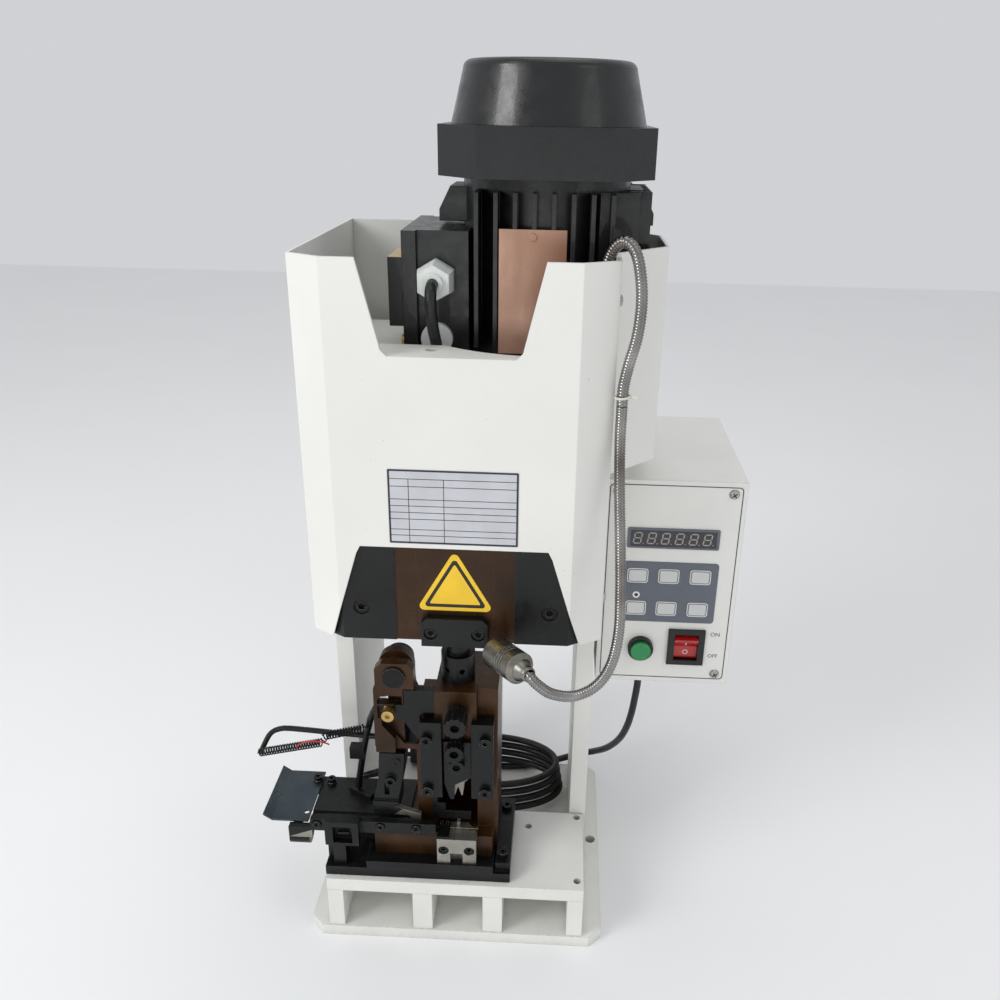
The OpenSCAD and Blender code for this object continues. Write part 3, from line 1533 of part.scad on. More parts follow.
lever_x = [-53, -41];
lever_gap = 0.1;
lever_low = 165;
lever_boss_d = 18;
stud_front = -90;
stud_wide = 9.6;
stud_bore = 4;
holder_y = [-82, -58];
holder_outline = [[-61, 167.8], [-41, 167.8], [-43, 145], [-47.3, 121.5], [-67, 121.5], [-62.5, 143]];
block_x = [-67, -47];
block_y = [-84, -58];
block_z = [110.5, 121.6];
handle_outline = [[-64, 134.5], [-65, 128.5], [-79, 124.5], [-80, 127.5]];
handle_front = -62;
finger_outline = [[-50, 119], [-43.3, 115.9], [-28.8, 111.5], [-29, 101.8], [-38.8, 109.6], [-50, 110.5]];
finger_y = [-85, -81];
slot_x = [-58, -54];
slot_z = [127, 139];
slot_depth = 4;
low_head = [-52.5, 142.3, 8.7, 3.5];
high_head = [-47.5, 159.6, 7, 1];
module feed_lever() {
  lever_y = [arm_y[1] + lever_gap, ear_plate_y[0] - lever_gap];
  color(steel_brown)
    difference() {
      union() {
        slab(lever_x, lever_y, [lever_low, pivot_z]);
        bar_y(pivot_x, pivot_z, lever_y, lever_boss_d, $fn = 48);
      }
      bar_y(pivot_x, pivot_z, [lever_y[0] - over, lever_y[1] + over], pin_d + 2 * turn_gap, $fn = 48);
    }
  color(steel_black)
    difference() {
      union() {
        plate_y(holder_outline, holder_y);
        slab(block_x, block_y, block_z);
        plate_y(handle_outline, [handle_front, holder_y[1]]);
        for (head = [low_head, high_head])
          bar_y(head[0], head[1], [holder_y[0] - head[3], holder_y[0] + over], head[2]);
      }
      slab(slot_x, [holder_y[0] - over, holder_y[0] + slot_depth], slot_z);
      for (head = [low_head, high_head])
        bar_y(head[0], head[1], [holder_y[0] - head[3] - over, holder_y[0] - over / 2], head[2] / 2);
    }
  color(steel_bare)
    plate_y(finger_outline, finger_y);
  color([0.75, 0.6, 0.25])
    difference() {
      bar_y(cam_stud_x, cam_stud_z, [stud_front, lever_y[0] + over], stud_wide);
      bar_y(cam_stud_x, cam_stud_z, [stud_front - over, stud_front + 2 * over], stud_bore);
    }
}

track_x = [-120, -40];
track_y = [-73.5, -32.5];
floor_z = 98.5;
rail_x = [-117, -16];
rail_z = [97.5, 108.5];
rail_tail_left = -135;
rail_tail_z = [90, 99.9];
rail_tip_x = [-17, -5.2];
tip_left = -14.8;
tip_y = [-97.5, -80];
tip_z = [99.3, 101];
window_block_x = [-104, -77];
window_block_y = [-99, -89];
window_block_z = [88.8, 111.5];
window_room_x = [-97.6, -82];
window_room_z = [91.3, 107.3];
latch_x = [-94.5, -85.5];
latch_y = [-95.5, -92.5];
latch_z = [97, 99];
leg_x = [-104, -90];
leg_y = [-92, -80];
prop_x = [-98.5, -88.5];
prop_y = [-97, -91];
prop_top = 87.7;
roller_x = [-135, -118.5];
roller_y = -86;
roller_z = 87.3;
track_roller_d = 14.2;
hanger_x = [-133, -126];
hanger_y = [-90, -82];
hanger_top = 98;
beam_x = [-135, -112];
beam_y = [-46, -32.5];
beam_low = 92;
module strip_track() {
  color(steel_black)
    difference() {
      union() {
        slab(track_x, track_y, [foot_top, track_z]);
        slab(track_x, [rail_y[1] - over, track_y[0] + over], [foot_top, floor_z]);
        slab([track_x[1] - over, rail_x[1]], [rail_y[1] - over, wall_y[0] - part_gap], [foot_top, floor_z]);
        slab(rail_x, rail_y, rail_z);
        slab([rail_tail_left, rail_x[0] + over], rail_y, rail_tail_z);
        slab(rail_tip_x, rail_y, tip_z);
        slab([tip_left, rail_tip_x[1]], tip_y, tip_z);
        slab(window_block_x, [window_block_y[0], rail_y[0] + over], window_block_z);
        slab(window_block_x, window_block_y, [rail_z[1] - over, window_block_z[1]]);
        slab(leg_x, leg_y, [tool_floor, foot_top + over]);
        slab(prop_x, prop_y, [tool_floor, prop_top]);
        slab(beam_x, beam_y, [beam_low, track_z]);
        slab(hanger_x, hanger_y, [roller_z, hanger_top]);
        bar_x(roller_y, roller_z, roller_x, track_roller_d);
      }
      slab(window_room_x, [window_block_y[0] - over, rail_y[0]], window_room_z);
      for (x = rail_screw_x) {
        bar_y(x, rail_screw_z, [rail_y[0] - over, rail_y[1] + over], rail_screw_d + part_gap);
        bar_y(x, rail_screw_z, [rail_y[0] - over, rail_y[0] + rail_screw_d / 2], rail_screw_d * head_share + over);
      }
      for (x = tray_screw_x)
        bar_z(x, tray_screw_y, [track_z - tray_screw_grip, track_z + over], tray_screw_d + part_gap);
    }
  color(steel_black)
    slab(latch_x, latch_y, latch_z);
}
tray_x = [-150, -120.4];
tray_y = [-87, -28.5];
tray_lip_out = 7;
tray_lip_up = 5;
tray_hole_y = -77;
module entry_tray() {
  color([0.3, 0.34, 0.35])
    difference() {
      plate_y([
        [tray_x[1], track_z], [tray_x[1], track_z + tray_t], [tray_x[0], track_z + tray_t],
        [tray_x[0] - tray_lip_out, track_z + tray_t + tray_lip_up], [tray_x[0] - tray_lip_out, track_z + tray_lip_up],
        [tray_x[0], track_z]
      ], tray_y);
      for (y = [tray_screw_y, tray_hole_y])
        bar_z(tray_screw_x[0], y, [track_z - over, track_z + 2 * over], tray_screw_d + part_gap);
    }
}

wire_d = 4.5;
rod_d = 5.7;
carrier_x = [-70, -32];
carrier_y = [-54, -44];
carrier_z = [152, 188];
arm_route = [[-66, -49, 158], [-76, -49, 158], [-110, -49, 160], [-140, -49, 162], [-150, -49, 161],
  [-157, -49, 157], [-162, -49, 149], [-168, -49, 136]];
rod_route = [[-69, -49, 186], [-74, -49, 175], [-80, -49, 150], [-84, -49, 128], [-87, -49, 106], [-87, -49, 101]];
wire_sides = 8;
rod_block_x = [-92, -80];
rod_block_y = [-53, -45];
rod_block_z = [137, 148];
shoe_points = [[-97, -44], [-95, -49.5], [-75, -60], [-73, -55]];
shoe_h = 4.5;
module spring_arm() {
  color(steel_black) {
    tube(smooth(arm_route, 2), [for (i = [0 : 2 * (len(arm_route) - 1)]) wire_d / 2], wire_sides, [0, 1, 0.1]);
    tube(smooth(rod_route, 2), [for (i = [0 : 2 * (len(rod_route) - 1)]) rod_d / 2], wire_sides, [0, 1, 0.1]);
    slab(carrier_x, carrier_y, carrier_z);
    slab(rod_block_x, rod_block_y, rod_block_z);
    plate_z(shoe_points, [track_z, track_z + shoe_h]);
  }
}

// the two drawn springs, wound as one unbroken wire each
spring_wire = 0.9;
spring_r = 2.9;
curl_rings = 8;
spring_sides = 6;
spring_one = [[-166, -54.7, 141], [-114, -54.7, 153.8]];
spring_two = [[-111, -54.7, 160.5], [-79, -54.7, 166]];
spring_one_curls = 24;
spring_two_curls = 14;
module spring(ends, curls) {
  along = ends[1] - ends[0];
  d = unit(along);
  u = unit(cross(d, [0, 1, 0]));
  w = cross(d, u);
  n = curls * curl_rings;
  route = [for (i = [0 : n]) ends[0] + along * i / n + spring_r * (cos(360 * i / curl_rings) * u + sin(360 * i / curl_rings) * w)];
  tube(route, [for (p = route) spring_wire / 2], spring_sides, d);
  echo(least_gap = min([for (i = [0 : n - curl_rings]) norm(route[i + curl_rings] - route[i])]) - spring_wire);
}
module tension_spring() {
  color(steel_bare) {
    spring(spring_one, spring_one_curls);
    spring(spring_two, spring_two_curls);
  }
}

base_plate();
bench_rails();
bench_plate();
left_side_frame();
right_side_frame();
head_block();
top_plate();
left_gib();
right_gib();
gib_screws();
front_cover();
rear_cover();
cover_screws();
ram();
ram_hook();
hook_screws();
gearbox_housing();
worm_wheel();
crankshaft();
motor_rotor();
cooling_fan();
motor_frame();
brake_housing();
fan_cover();
terminal_box();
terminal_box_lid();
cable_gland();
blind_plug();
motor_nameplate();
motor_cable();
control_box();
control_panel();
panel_screws();
membrane_panel();
light_button();
button_bezel();
switch_bezel();
power_rocker();
gooseneck_upper();
gooseneck_lower();
lamp_head();
power_cord();
cord_coil();
power_plug();
applicator_base();
applicator_frame();
guide_bars();
applicator_screws();
applicator_ram();
ram_post();
wire_dial();
insulation_dial();
crimp_punch();
crimp_anvil();
cam_plate();
feed_lever();
strip_track();
entry_tray();
spring_arm();
tension_spring();
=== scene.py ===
import math
import bmesh
import bpy
from mathutils import Matrix, Vector, noise


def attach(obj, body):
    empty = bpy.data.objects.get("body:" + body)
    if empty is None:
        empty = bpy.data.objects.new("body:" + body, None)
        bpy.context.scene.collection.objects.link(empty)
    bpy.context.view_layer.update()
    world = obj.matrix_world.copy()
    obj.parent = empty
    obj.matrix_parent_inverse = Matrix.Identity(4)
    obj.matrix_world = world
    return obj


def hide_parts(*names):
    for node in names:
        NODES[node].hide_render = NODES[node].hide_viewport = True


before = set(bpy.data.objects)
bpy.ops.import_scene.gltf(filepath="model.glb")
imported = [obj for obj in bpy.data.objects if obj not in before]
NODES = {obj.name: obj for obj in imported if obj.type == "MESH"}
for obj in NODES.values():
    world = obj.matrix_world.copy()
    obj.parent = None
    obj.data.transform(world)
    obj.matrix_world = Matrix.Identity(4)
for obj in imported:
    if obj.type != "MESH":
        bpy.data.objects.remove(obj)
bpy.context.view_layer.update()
MM = 0.001
scene = bpy.context.scene

# camera, as found from the photograph: place and directions in the frame's own axes
cam = bpy.data.objects.new("camera", bpy.data.cameras.new("camera"))
scene.collection.objects.link(cam)
right = Vector((0.99889, 0.04311, 0.01922))
up = Vector((-0.03422, 0.38079, 0.92403))
fwd = Vector((-0.03252, 0.92366, -0.38184))
m = Matrix.Identity(4)
for row in range(3):
    m[row][0] = right[row]
    m[row][1] = up[row]
    m[row][2] = -fwd[row]
m.translation = Vector((71.72, -657.26, 640.04)) * MM
cam.matrix_world = m
cam.data.lens = 32.89
cam.data.sensor_width = 36.0
cam.data.shift_x = -0.0279
cam.data.shift_y = -0.01835
cam.data.clip_start = 0.01
scene.camera = cam
scene.view_settings.view_transform = "Standard"
scene.view_settings.look = "None"

# shapes


def link(name, mesh, mat=None, body=None, smooth=False):
    obj = bpy.data.objects.new(name, mesh)
    scene.collection.objects.link(obj)
    if mat:
        mesh.materials.append(mat)
    if smooth:
        for p in mesh.polygons:
            p.use_smooth = True
    if body:
        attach(obj, body)
    return obj


def mesh_of(name, verts, faces):
    me = bpy.data.meshes.new(name)
    me.from_pydata([tuple(v) for v in verts], [], faces)
    me.update()
    return me


def blend_curve(route, steps):
    """The same smooth curve through its points as the solid model's."""
    pts = [Vector(p) for p in route]
    out = []
    for i in range(len(pts) - 1):
        a, b = pts[max(i - 1, 0)], pts[i]
        c, d = pts[i + 1], pts[min(i + 2, len(pts) - 1)]
        for s in range(steps):
            t = s / steps
            square = 2 * a - 5 * b + 4 * c - d
            cube = 3 * b - a - 3 * c + d
            out.append(0.5 * (2 * b + (c - a) * t + square * t * t + cube * t ** 3))
    out.append(pts[-1])
    return out


def even(path, step):
    """Points at even steps along a path."""
    total = [0.0]
    for a, b in zip(path, path[1:]):
        total.append(total[-1] + (b - a).length)
    n = max(2, int(round(total[-1] / step)))
    out, k = [], 0
    for i in range(n + 1):
        s = total[-1] * i / n
        while k < len(path) - 2 and total[k + 1] < s:
            k += 1
        span = total[k + 1] - total[k]
        out.append(path[k].lerp(path[k + 1], 0 if span == 0 else (s - total[k]) / span))
    return out


EVEN_STEP = 0.0035
HOSE_STEP = 0.0005
CURVE_STEPS = 6


def tube(name, path, radius, sides=10, closed=False):
    """A swept tube whose rings don't twist; radius is a number or a function of the ring's index."""
    n = len(path)
    verts, faces = [], []
    prev = None
    for i, p in enumerate(path):
        a = path[i - 1] if i or closed else p
        b = path[(i + 1) % n] if i < n - 1 or closed else p
        d = (b - a).normalized()
        if prev is None:
            side = d.cross(Vector((0.13, 0.31, 0.94))).normalized()
        else:
            side = (prev - d * prev.dot(d)).normalized()
        prev = side
        other = d.cross(side)
        r = radius(i) if callable(radius) else radius
        for k in range(sides):
            t = 2 * math.pi * k / sides
            verts.append(p + (side * math.cos(t) + other * math.sin(t)) * r)
    for i in range(n if closed else n - 1):
        j = (i + 1) % n
        for k in range(sides):
            l = (k + 1) % sides
            faces.append((i * sides + k, i * sides + l, j * sides + l, j * sides + k))
    if not closed:
        faces.append(tuple(range(sides - 1, -1, -1)))
        faces.append(tuple((n - 1) * sides + k for k in range(sides)))
    return mesh_of(name, verts, faces)


def outline_plate(name, points, y0, y1, bevel=0.0):
    """An outline in X and Z, given in mm, drawn out from y0 to y1, with an optional rounded front edge."""
    layers = [(y1, 0.0)]
    if bevel:
        layers += [(y0 + bevel, 0.0), (y0 + bevel * 0.3, bevel * 0.7 * 0.42), (y0, bevel)]
    else:
        layers.append((y0, 0.0))
    cx = sum(p[0] for p in points) / len(points)
    cz = sum(p[1] for p in points) / len(points)
    verts, faces, n = [], [], len(points)
    for y, inset in layers:
        for i, (x, z) in enumerate(points):
            if inset:
                ax, az = points[i - 1]
                bx, bz = points[(i + 1) % n]
                tx, tz = bx - ax, bz - az
                length = math.hypot(tx, tz) or 1
                nx, nz = tz / length, -tx / length
                if (x - cx) * nx + (z - cz) * nz < 0:
                    nx, nz = -nx, -nz
                x, z = x - nx * inset, z - nz * inset
            verts.append(Vector((x, y, z)) * MM)
    for L in range(len(layers) - 1):
        for i in range(n):
            j = (i + 1) % n
            faces.append((L * n + i, L * n + j, (L + 1) * n + j, (L + 1) * n + i))
    faces.append(tuple(range(n)))
    faces.append(tuple(reversed([(len(layers) - 1) * n + i for i in range(n)])))
    me = mesh_of(name, verts, faces)
    bm = bmesh.new()
    bm.from_mesh(me)
    bmesh.ops.recalc_face_normals(bm, faces=bm.faces)
    bm.to_mesh(me)
    bm.free()
    return me


def round_rect(x0, x1, z0, z1, r, seg=5):
    pts = []
    for cx, cz, a0 in ((x1 - r, z1 - r, 0), (x0 + r, z1 - r, 90), (x0 + r, z0 + r, 180),
                       (x1 - r, z0 + r, 270)):
        for k in range(seg + 1):
            a = math.radians(a0 + 90 * k / seg)
            pts.append((cx + r * math.cos(a), cz + r * math.sin(a)))
    return pts


def ring_band(name, outer, inner, y0, y1):
    """A flat band between two outlines with the same number of points."""
    n = len(outer)
    verts = [Vector((x, y, z)) * MM for y in (y1, y0) for pts in (outer, inner) for x, z in pts]
    faces = []
    for i in range(n):
        j = (i + 1) % n
        faces.append((2 * n + i, 3 * n + i, 3 * n + j, 2 * n + j))
        faces.append((i, j, n + j, n + i))
        faces.append((i, 2 * n + i, 2 * n + j, j))
        faces.append((n + i, n + j, 3 * n + j, 3 * n + i))
    return mesh_of(name, verts, faces)


def lathe(name, profile, seg=48):
    """A turned shape about local Z from (radius, height) pairs in mm."""
    verts, faces = [], []
    for k in range(seg):
        a = 2 * math.pi * k / seg
        for r, h in profile:
            verts.append(Vector((r * math.cos(a), r * math.sin(a), h)) * MM)
    n = len(profile)
    for k in range(seg):
        j = (k + 1) % seg
        for i in range(n - 1):
            faces.append((k * n + i, j * n + i, j * n + i + 1, k * n + i + 1))
    return mesh_of(name, verts, faces)


def joined(name, meshes):
    """Several meshes as one."""
    verts, faces = [], []
    for me in meshes:
        base = len(verts)
        verts += [v.co.copy() for v in me.vertices]
        faces += [tuple(base + i for i in p.vertices) for p in me.polygons]
    return mesh_of(name, verts, faces)


# materials


class Nodes:
    """A short way to make and link shader nodes."""

    def __init__(self, tree):
        self.t = tree

    def new(self, kind, inputs=None, **props):
        n = self.t.nodes.new(kind)
        for k, v in props.items():
            setattr(n, k, v)
        for k, v in (inputs or {}).items():
            if isinstance(v, bpy.types.NodeSocket):
                self.t.links.new(v, n.inputs[k])
            else:
                n.inputs[k].default_value = v
        return n

    def noise(self, coord, scale, detail=3.0, rough=0.55):
        return self.new("ShaderNodeTexNoise", {"Vector": coord, "Scale": scale, "Detail": detail,
                                               "Roughness": rough}).outputs["Fac"]

    def ramp(self, value, low, high, a=0.0, b=1.0):
        return self.new("ShaderNodeMapRange", {0: value, 1: low, 2: high, 3: a, 4: b},
                        clamp=True).outputs[0]

    def mix(self, fac, a, b, mode="MIX"):
        n = self.new("ShaderNodeMix", data_type="RGBA", blend_type=mode)
        for k, v in ((0, fac), (6, a), (7, b)):
            if isinstance(v, bpy.types.NodeSocket):
                self.t.links.new(v, n.inputs[k])
            else:
                n.inputs[k].default_value = v
        return n.outputs[2]

    def math(self, op, a, b):
        return self.new("ShaderNodeMath", {0: a, 1: b}, operation=op).outputs[0]


def rgb(r, g, b):
    """A colour given in screen values, as scene values."""
    lin = [(c / 255 / 12.92) if c <= 10 else ((c / 255 + 0.055) / 1.055) ** 2.4 for c in (r, g, b)]
    return (*lin, 1.0)


def edge_group():
    """Mask of worn outer edges and a softly rounded normal, shared by the metals."""
    g = bpy.data.node_groups.new("edge_wear", "ShaderNodeTree")
    g.interface.new_socket("Radius", in_out="INPUT", socket_type="NodeSocketFloat")
    g.interface.new_socket("Mask", in_out="OUTPUT", socket_type="NodeSocketFloat")
    g.interface.new_socket("Normal", in_out="OUTPUT", socket_type="NodeSocketVector")
    n = Nodes(g)
    i = n.new("NodeGroupInput")
    o = n.new("NodeGroupOutput")
    bevel = n.new("ShaderNodeBevel", {"Radius": i.outputs[0]}, samples=6)
    geo = n.new("ShaderNodeNewGeometry")
    dot = n.new("ShaderNodeVectorMath", {0: bevel.outputs[0], 1: geo.outputs["Normal"]},
                operation="DOT_PRODUCT")
    coord = n.new("ShaderNodeTexCoord").outputs["Object"]
    worn = n.noise(coord, 420.0, 4.0, 0.7)
    edge = n.ramp(dot.outputs["Value"], 0.985, 0.90)
    mask = n.math("MULTIPLY", edge, n.ramp(worn, 0.42, 0.62))
    g.links.new(mask, o.inputs[0])
    g.links.new(bevel.outputs[0], o.inputs[1])
    return g


EDGE = edge_group()


def material(name, base, rough=0.5, metal=0.0, vary=0.12, vary_scale=35.0, tint=None, bump=0.15,
             bump_scale=900.0,
             wear=None, wear_amount=0.6, radius=0.0005, stretch=None, rough_vary=0.12, crease_shade_and_dirt=None, coat=0.0):
    """Base colour with slow variation, fine surface grain, worn edges, painted shade that darkens creases and
    recesses in patches (found by ambient occlusion) and specks of grime.
    """
    mat = bpy.data.materials.new(name)
    mat.use_nodes = True
    n = Nodes(mat.node_tree)
    bsdf = mat.node_tree.nodes["Principled BSDF"]
    L = mat.node_tree.links
    coord = n.new("ShaderNodeTexCoord").outputs["Object"]
    if stretch:
        coord_s = n.new("ShaderNodeMapping", {"Vector": coord, "Scale": stretch}).outputs[0]
    else:
        coord_s = coord
    big = n.noise(coord, vary_scale, 4.0)
    fine = n.noise(coord_s, bump_scale, 3.0, 0.6)
    dark = tuple(c * (1 - vary) for c in base[:3]) + (1,)
    light = tuple(min(1, c * (1 + vary)) for c in base[:3]) + (1,)
    col = n.mix(n.ramp(big, 0.35, 0.65), dark, light)
    if tint:
        col = n.mix(n.ramp(n.noise(coord, vary_scale * 0.35, 2.0), 0.45, 0.7), col, tint)
    edge = n.new("ShaderNodeGroup", node_tree=EDGE)
    edge.inputs[0].default_value = radius
    if wear:
        col = n.mix(n.math("MULTIPLY", edge.outputs[0], wear_amount), col, wear)
    if crease_shade_and_dirt:
        # painted shade: where ambient occlusion finds creases and recesses, the colour is darkened in patches
        # towards the given crease colour; the specks further down are grime in the same colour
        ao = n.new("ShaderNodeAmbientOcclusion", {"Distance": 0.012}, samples=6)
        spots = n.ramp(n.noise(coord, 160.0, 5.0, 0.75), 0.45, 0.75)
        shade = n.math("MULTIPLY", n.ramp(ao.outputs["AO"], 0.75, 0.25),
                       n.math("ADD", n.math("MULTIPLY", spots, 0.6), 0.35))
        col = n.mix(n.math("MULTIPLY", shade, crease_shade_and_dirt[1]), col, crease_shade_and_dirt[0])
        specks = n.ramp(n.noise(coord, 330.0, 2.0, 0.5), 0.755, 0.80)
        col = n.mix(n.math("MULTIPLY", specks, 0.35), col, crease_shade_and_dirt[0])
    L.new(col, bsdf.inputs["Base Color"])
    r = n.ramp(n.noise(coord_s, vary_scale * 3, 4.0, 0.65), 0.3, 0.7, max(0.03, rough - rough_vary),
               min(1, rough + rough_vary))
    L.new(r, bsdf.inputs["Roughness"])
    bsdf.inputs["Metallic"].default_value = metal
    bsdf.inputs["Coat Weight"].default_value = coat
    b = n.new("ShaderNodeBump", {"Strength": bump, "Distance": 0.0004, "Height": fine,
                                 "Normal": edge.outputs[1]})
    L.new(b.outputs[0], bsdf.inputs["Normal"])
    return mat


# where a material gets a crease colour pair, that colour and strength paint shade into its creases and recesses,
# and the same colour marks its specks of grime
white = material("white_coat", rgb(232, 231, 226), 0.42, 0, 0.025, 14, bump=0.35, bump_scale=1500,
                 radius=0.0009,
                 crease_shade_and_dirt=(rgb(120, 110, 96), 0.5), rough_vary=0.06, tint=rgb(226, 225, 219))
white_base = material("white_coat_worn", rgb(228, 227, 222), 0.45, 0, 0.04, 22, bump=0.35, bump_scale=1400,
                      radius=0.0009, crease_shade_and_dirt=(rgb(96, 80, 62), 0.75), wear=rgb(120, 104, 84), wear_amount=0.5)
oxide = material("black_oxide", rgb(13, 14, 15), 0.36, 0.35, 0.3, 60, tint=rgb(22, 23, 23), bump=0.16,
                 bump_scale=1100,
                 wear=rgb(120, 120, 116), wear_amount=0.30, crease_shade_and_dirt=(rgb(20, 17, 14), 0.4))
oxide_screw = material("black_screw", rgb(18, 18, 19), 0.34, 0.5, 0.25, 200, bump=0.2, bump_scale=1600,
                       wear=rgb(190, 188, 180), wear_amount=0.6, radius=0.0005)
brown = material("browned_steel", rgb(66, 42, 20), 0.32, 0.5, 0.28, 30, tint=rgb(40, 25, 13), bump=0.18,
                 bump_scale=900,
                 wear=rgb(150, 106, 62), wear_amount=0.5, stretch=(1, 1, 0.12), crease_shade_and_dirt=(rgb(20, 12, 8), 0.5))
ground = material("ground_steel", rgb(158, 156, 148), 0.34, 0.85, 0.15, 70, bump=0.2, bump_scale=1500,
                  stretch=(1, 0.1, 1), wear=rgb(215, 213, 206), tint=rgb(128, 122, 110))
zinc = material("zinc_screw", rgb(176, 176, 172), 0.3, 0.9, 0.2, 300, bump=0.15, bump_scale=1500)
chrome = material("gooseneck_chrome", rgb(150, 148, 146), 0.2, 1.0, 0.12, 60, tint=rgb(104, 98, 92),
                  bump=0.05,
                  bump_scale=900, radius=0.0002)
lampmetal = material("brushed_lamp", rgb(128, 125, 118), 0.32, 0.95, 0.15, 50, bump=0.25, bump_scale=1800,
                     stretch=(0.1, 1, 1), wear=rgb(210, 206, 198))
motor = material("motor_black", rgb(13, 14, 15), 0.40, 0.0, 0.25, 45, bump=0.3, bump_scale=800,
                 wear=rgb(70, 70, 70), wear_amount=0.5, radius=0.0009, coat=0.15)
fan_black = material("fan_cover_black", rgb(14, 14, 15), 0.30, 0.0, 0.2, 26, bump=0.18, bump_scale=700,
                     tint=rgb(20, 20, 21), coat=0.15)
copper = material("copper_plate", rgb(186, 148, 128), 0.42, 0.35, 0.12, 30, bump=0.15, bump_scale=1500,
                  stretch=(1, 1, 0.1), tint=rgb(150, 108, 84), crease_shade_and_dirt=(rgb(104, 66, 46), 0.7))
bronze = material("bronze", rgb(176, 132, 74), 0.4, 0.9, 0.15, 40)
brass = material("brass", rgb(198, 168, 104), 0.3, 0.9, 0.15, 120, bump=0.1)
pale = material("pale_plastic", rgb(222, 226, 222), 0.45, 0, 0.03, 60, bump=0.2, bump_scale=1000,
                crease_shade_and_dirt=(rgb(120, 116, 104), 0.4))
black_plastic = material("black_plastic", rgb(16, 16, 17), 0.42, 0, 0.15, 60, bump=0.25, bump_scale=1700,
                         radius=0.0006)
rubber = material("cable_rubber", rgb(14, 14, 15), 0.44, 0, 0.2, 90, bump=0.2, bump_scale=900,
                  tint=rgb(22, 22, 23))
green = material("green_button", rgb(18, 138, 72), 0.25, 0, 0.08, 80, bump=0.05, coat=0.4, radius=0.0008)
red = material("red_rocker", rgb(178, 26, 26), 0.22, 0, 0.08, 80, bump=0.04, coat=0.5, radius=0.0008)
grey_film = material("keypad_film", rgb(98, 103, 113), 0.5, 0, 0.03, 60, bump=0.25, bump_scale=2200)
key_film = material("key_film", rgb(206, 207, 206), 0.5, 0, 0.03, 60, bump=0.2, bump_scale=2200)
line_ink = material("line_ink", rgb(72, 74, 88), 0.5, 0, 0.05, 60, bump=0.05)
label_film = material("label_film", rgb(196, 197, 202), 0.42, 0.2, 0.05, 40, bump=0.1, bump_scale=1500)
label_ink = material("label_ink", rgb(40, 40, 44), 0.5, 0, 0.05, 40, bump=0.05)
tray_steel = material("tray_steel", rgb(74, 84, 90), 0.3, 0.8, 0.15, 40, tint=rgb(56, 62, 66), bump=0.1,
                      bump_scale=1200, wear=rgb(150, 152, 150))
yellow = material("yellow_plate", rgb(240, 196, 30), 0.38, 0, 0.05, 50, bump=0.1, bump_scale=1200, coat=0.2)
# black for the printed triangle edging and key mark, also used as painted shade in the panel screws' cross
# recesses
black_print_and_shade = material("black_print_and_recess_shade", rgb(26, 24, 22), 0.42, 0, 0.05, 50, bump=0.05)
window_dark = material("display_window", rgb(38, 38, 44), 0.18, 0, 0.1, 60, bump=0.02, coat=0.5)
digit_mat = material("display_segments", rgb(168, 164, 158), 0.4, 0, 0.05, 60, bump=0.02)
white_film = material("white_film", rgb(236, 236, 232), 0.45, 0, 0.02, 60, bump=0.05)
tie_mat = material("tie_plastic", rgb(214, 212, 200), 0.4, 0, 0.05, 60, bump=0.1)
red_wire = material("red_wire", rgb(190, 30, 48), 0.35, 0, 0.08, 60, bump=0.1)
tin = material("tinned_brass", rgb(190, 176, 150), 0.3, 0.95, 0.2, 150, bump=0.1)
lens = material("lamp_lens", rgb(222, 224, 226), 0.2, 0, 0.05, 200, bump=0.4, bump_scale=700, coat=0.6)

look = {
    "base_plate": white_base, "bench_rails": white_base, "bench_plate": white_base, "left_side_frame": white,
    "right_side_frame": white, "top_plate": white, "front_cover": white, "rear_cover": white, "control_box": white,
    "control_panel": white, "head_block": brown, "ram": brown, "ram_hook": oxide, "hook_screws": oxide_screw,
    "gib_screws": oxide_screw, "cover_screws": zinc, "panel_screws": zinc, "gearbox_housing": motor,
    "worm_wheel": bronze, "crankshaft": ground, "motor_rotor": ground, "cooling_fan": black_plastic,
    "motor_frame": motor, "brake_housing": motor, "fan_cover": fan_black, "terminal_box": motor,
    "terminal_box_lid": motor, "cable_gland": pale, "blind_plug": pale, "motor_nameplate": copper,
    "light_button": green, "button_bezel": black_plastic, "switch_bezel": black_plastic, "power_rocker": red,
    "lamp_head": lampmetal, "power_plug": rubber, "applicator_base": oxide, "applicator_frame": brown,
    "guide_bars": oxide, "applicator_screws": oxide_screw, "applicator_ram": brown, "ram_post": oxide,
    "wire_dial": oxide, "insulation_dial": oxide, "crimp_anvil": ground, "cam_plate": oxide, "strip_track": oxide,
    "entry_tray": tray_steel, "spring_arm": oxide,
}


def by_place(name, base_mat, other, test):
    """A copy of base_mat on the node, with other on the faces that pass the test."""
    obj = NODES[name]
    obj.data.materials.clear()
    obj.data.materials.append(base_mat)
    obj.data.materials.append(other)
    for p in obj.data.polygons:
        p.material_index = 1 if test(p.center / MM) else 0


for name, mat in look.items():
    obj = NODES[name]
    for s in obj.material_slots:
        s.material = mat
    if not obj.material_slots:
        obj.data.materials.append(mat)

# cords
cord_route = [
    (150, 40, 171), (150, 40, 160), (149, 41, 145), (147, 45, 122), (144, 54, 98), (139, 70, 72), (130, 90,
        46),
    (118, 106, 28), (104, 113, 19), (88, 111, 14), (70, 104, 13.5), (50, 98, 13.5), (34, 95.3, 13.5), (22,
        95, 13.5)]
tail_route = [
    (14, 103, 42.7), (5, 105, 42.4), (-4, 105.5, 40.5), (-13, 105.5, 36.5), (-21, 105, 31), (-28, 104.4,
        27),
    (-33, 104, 25.3), (-37, 104, 25)]


COIL_LOOPS = 4
COIL_STEPS = 48
CORD_R = 0.00325


def coil_point(turn):
    """A point of the coil, by the number of loops from its start."""
    a = math.radians(90 + 360 * turn)
    return (22 + 63 * math.cos(a) - 1.5 * turn, 62 + 33 * math.sin(a) + 2.2 * turn, 13.5 + 7.3 * turn)


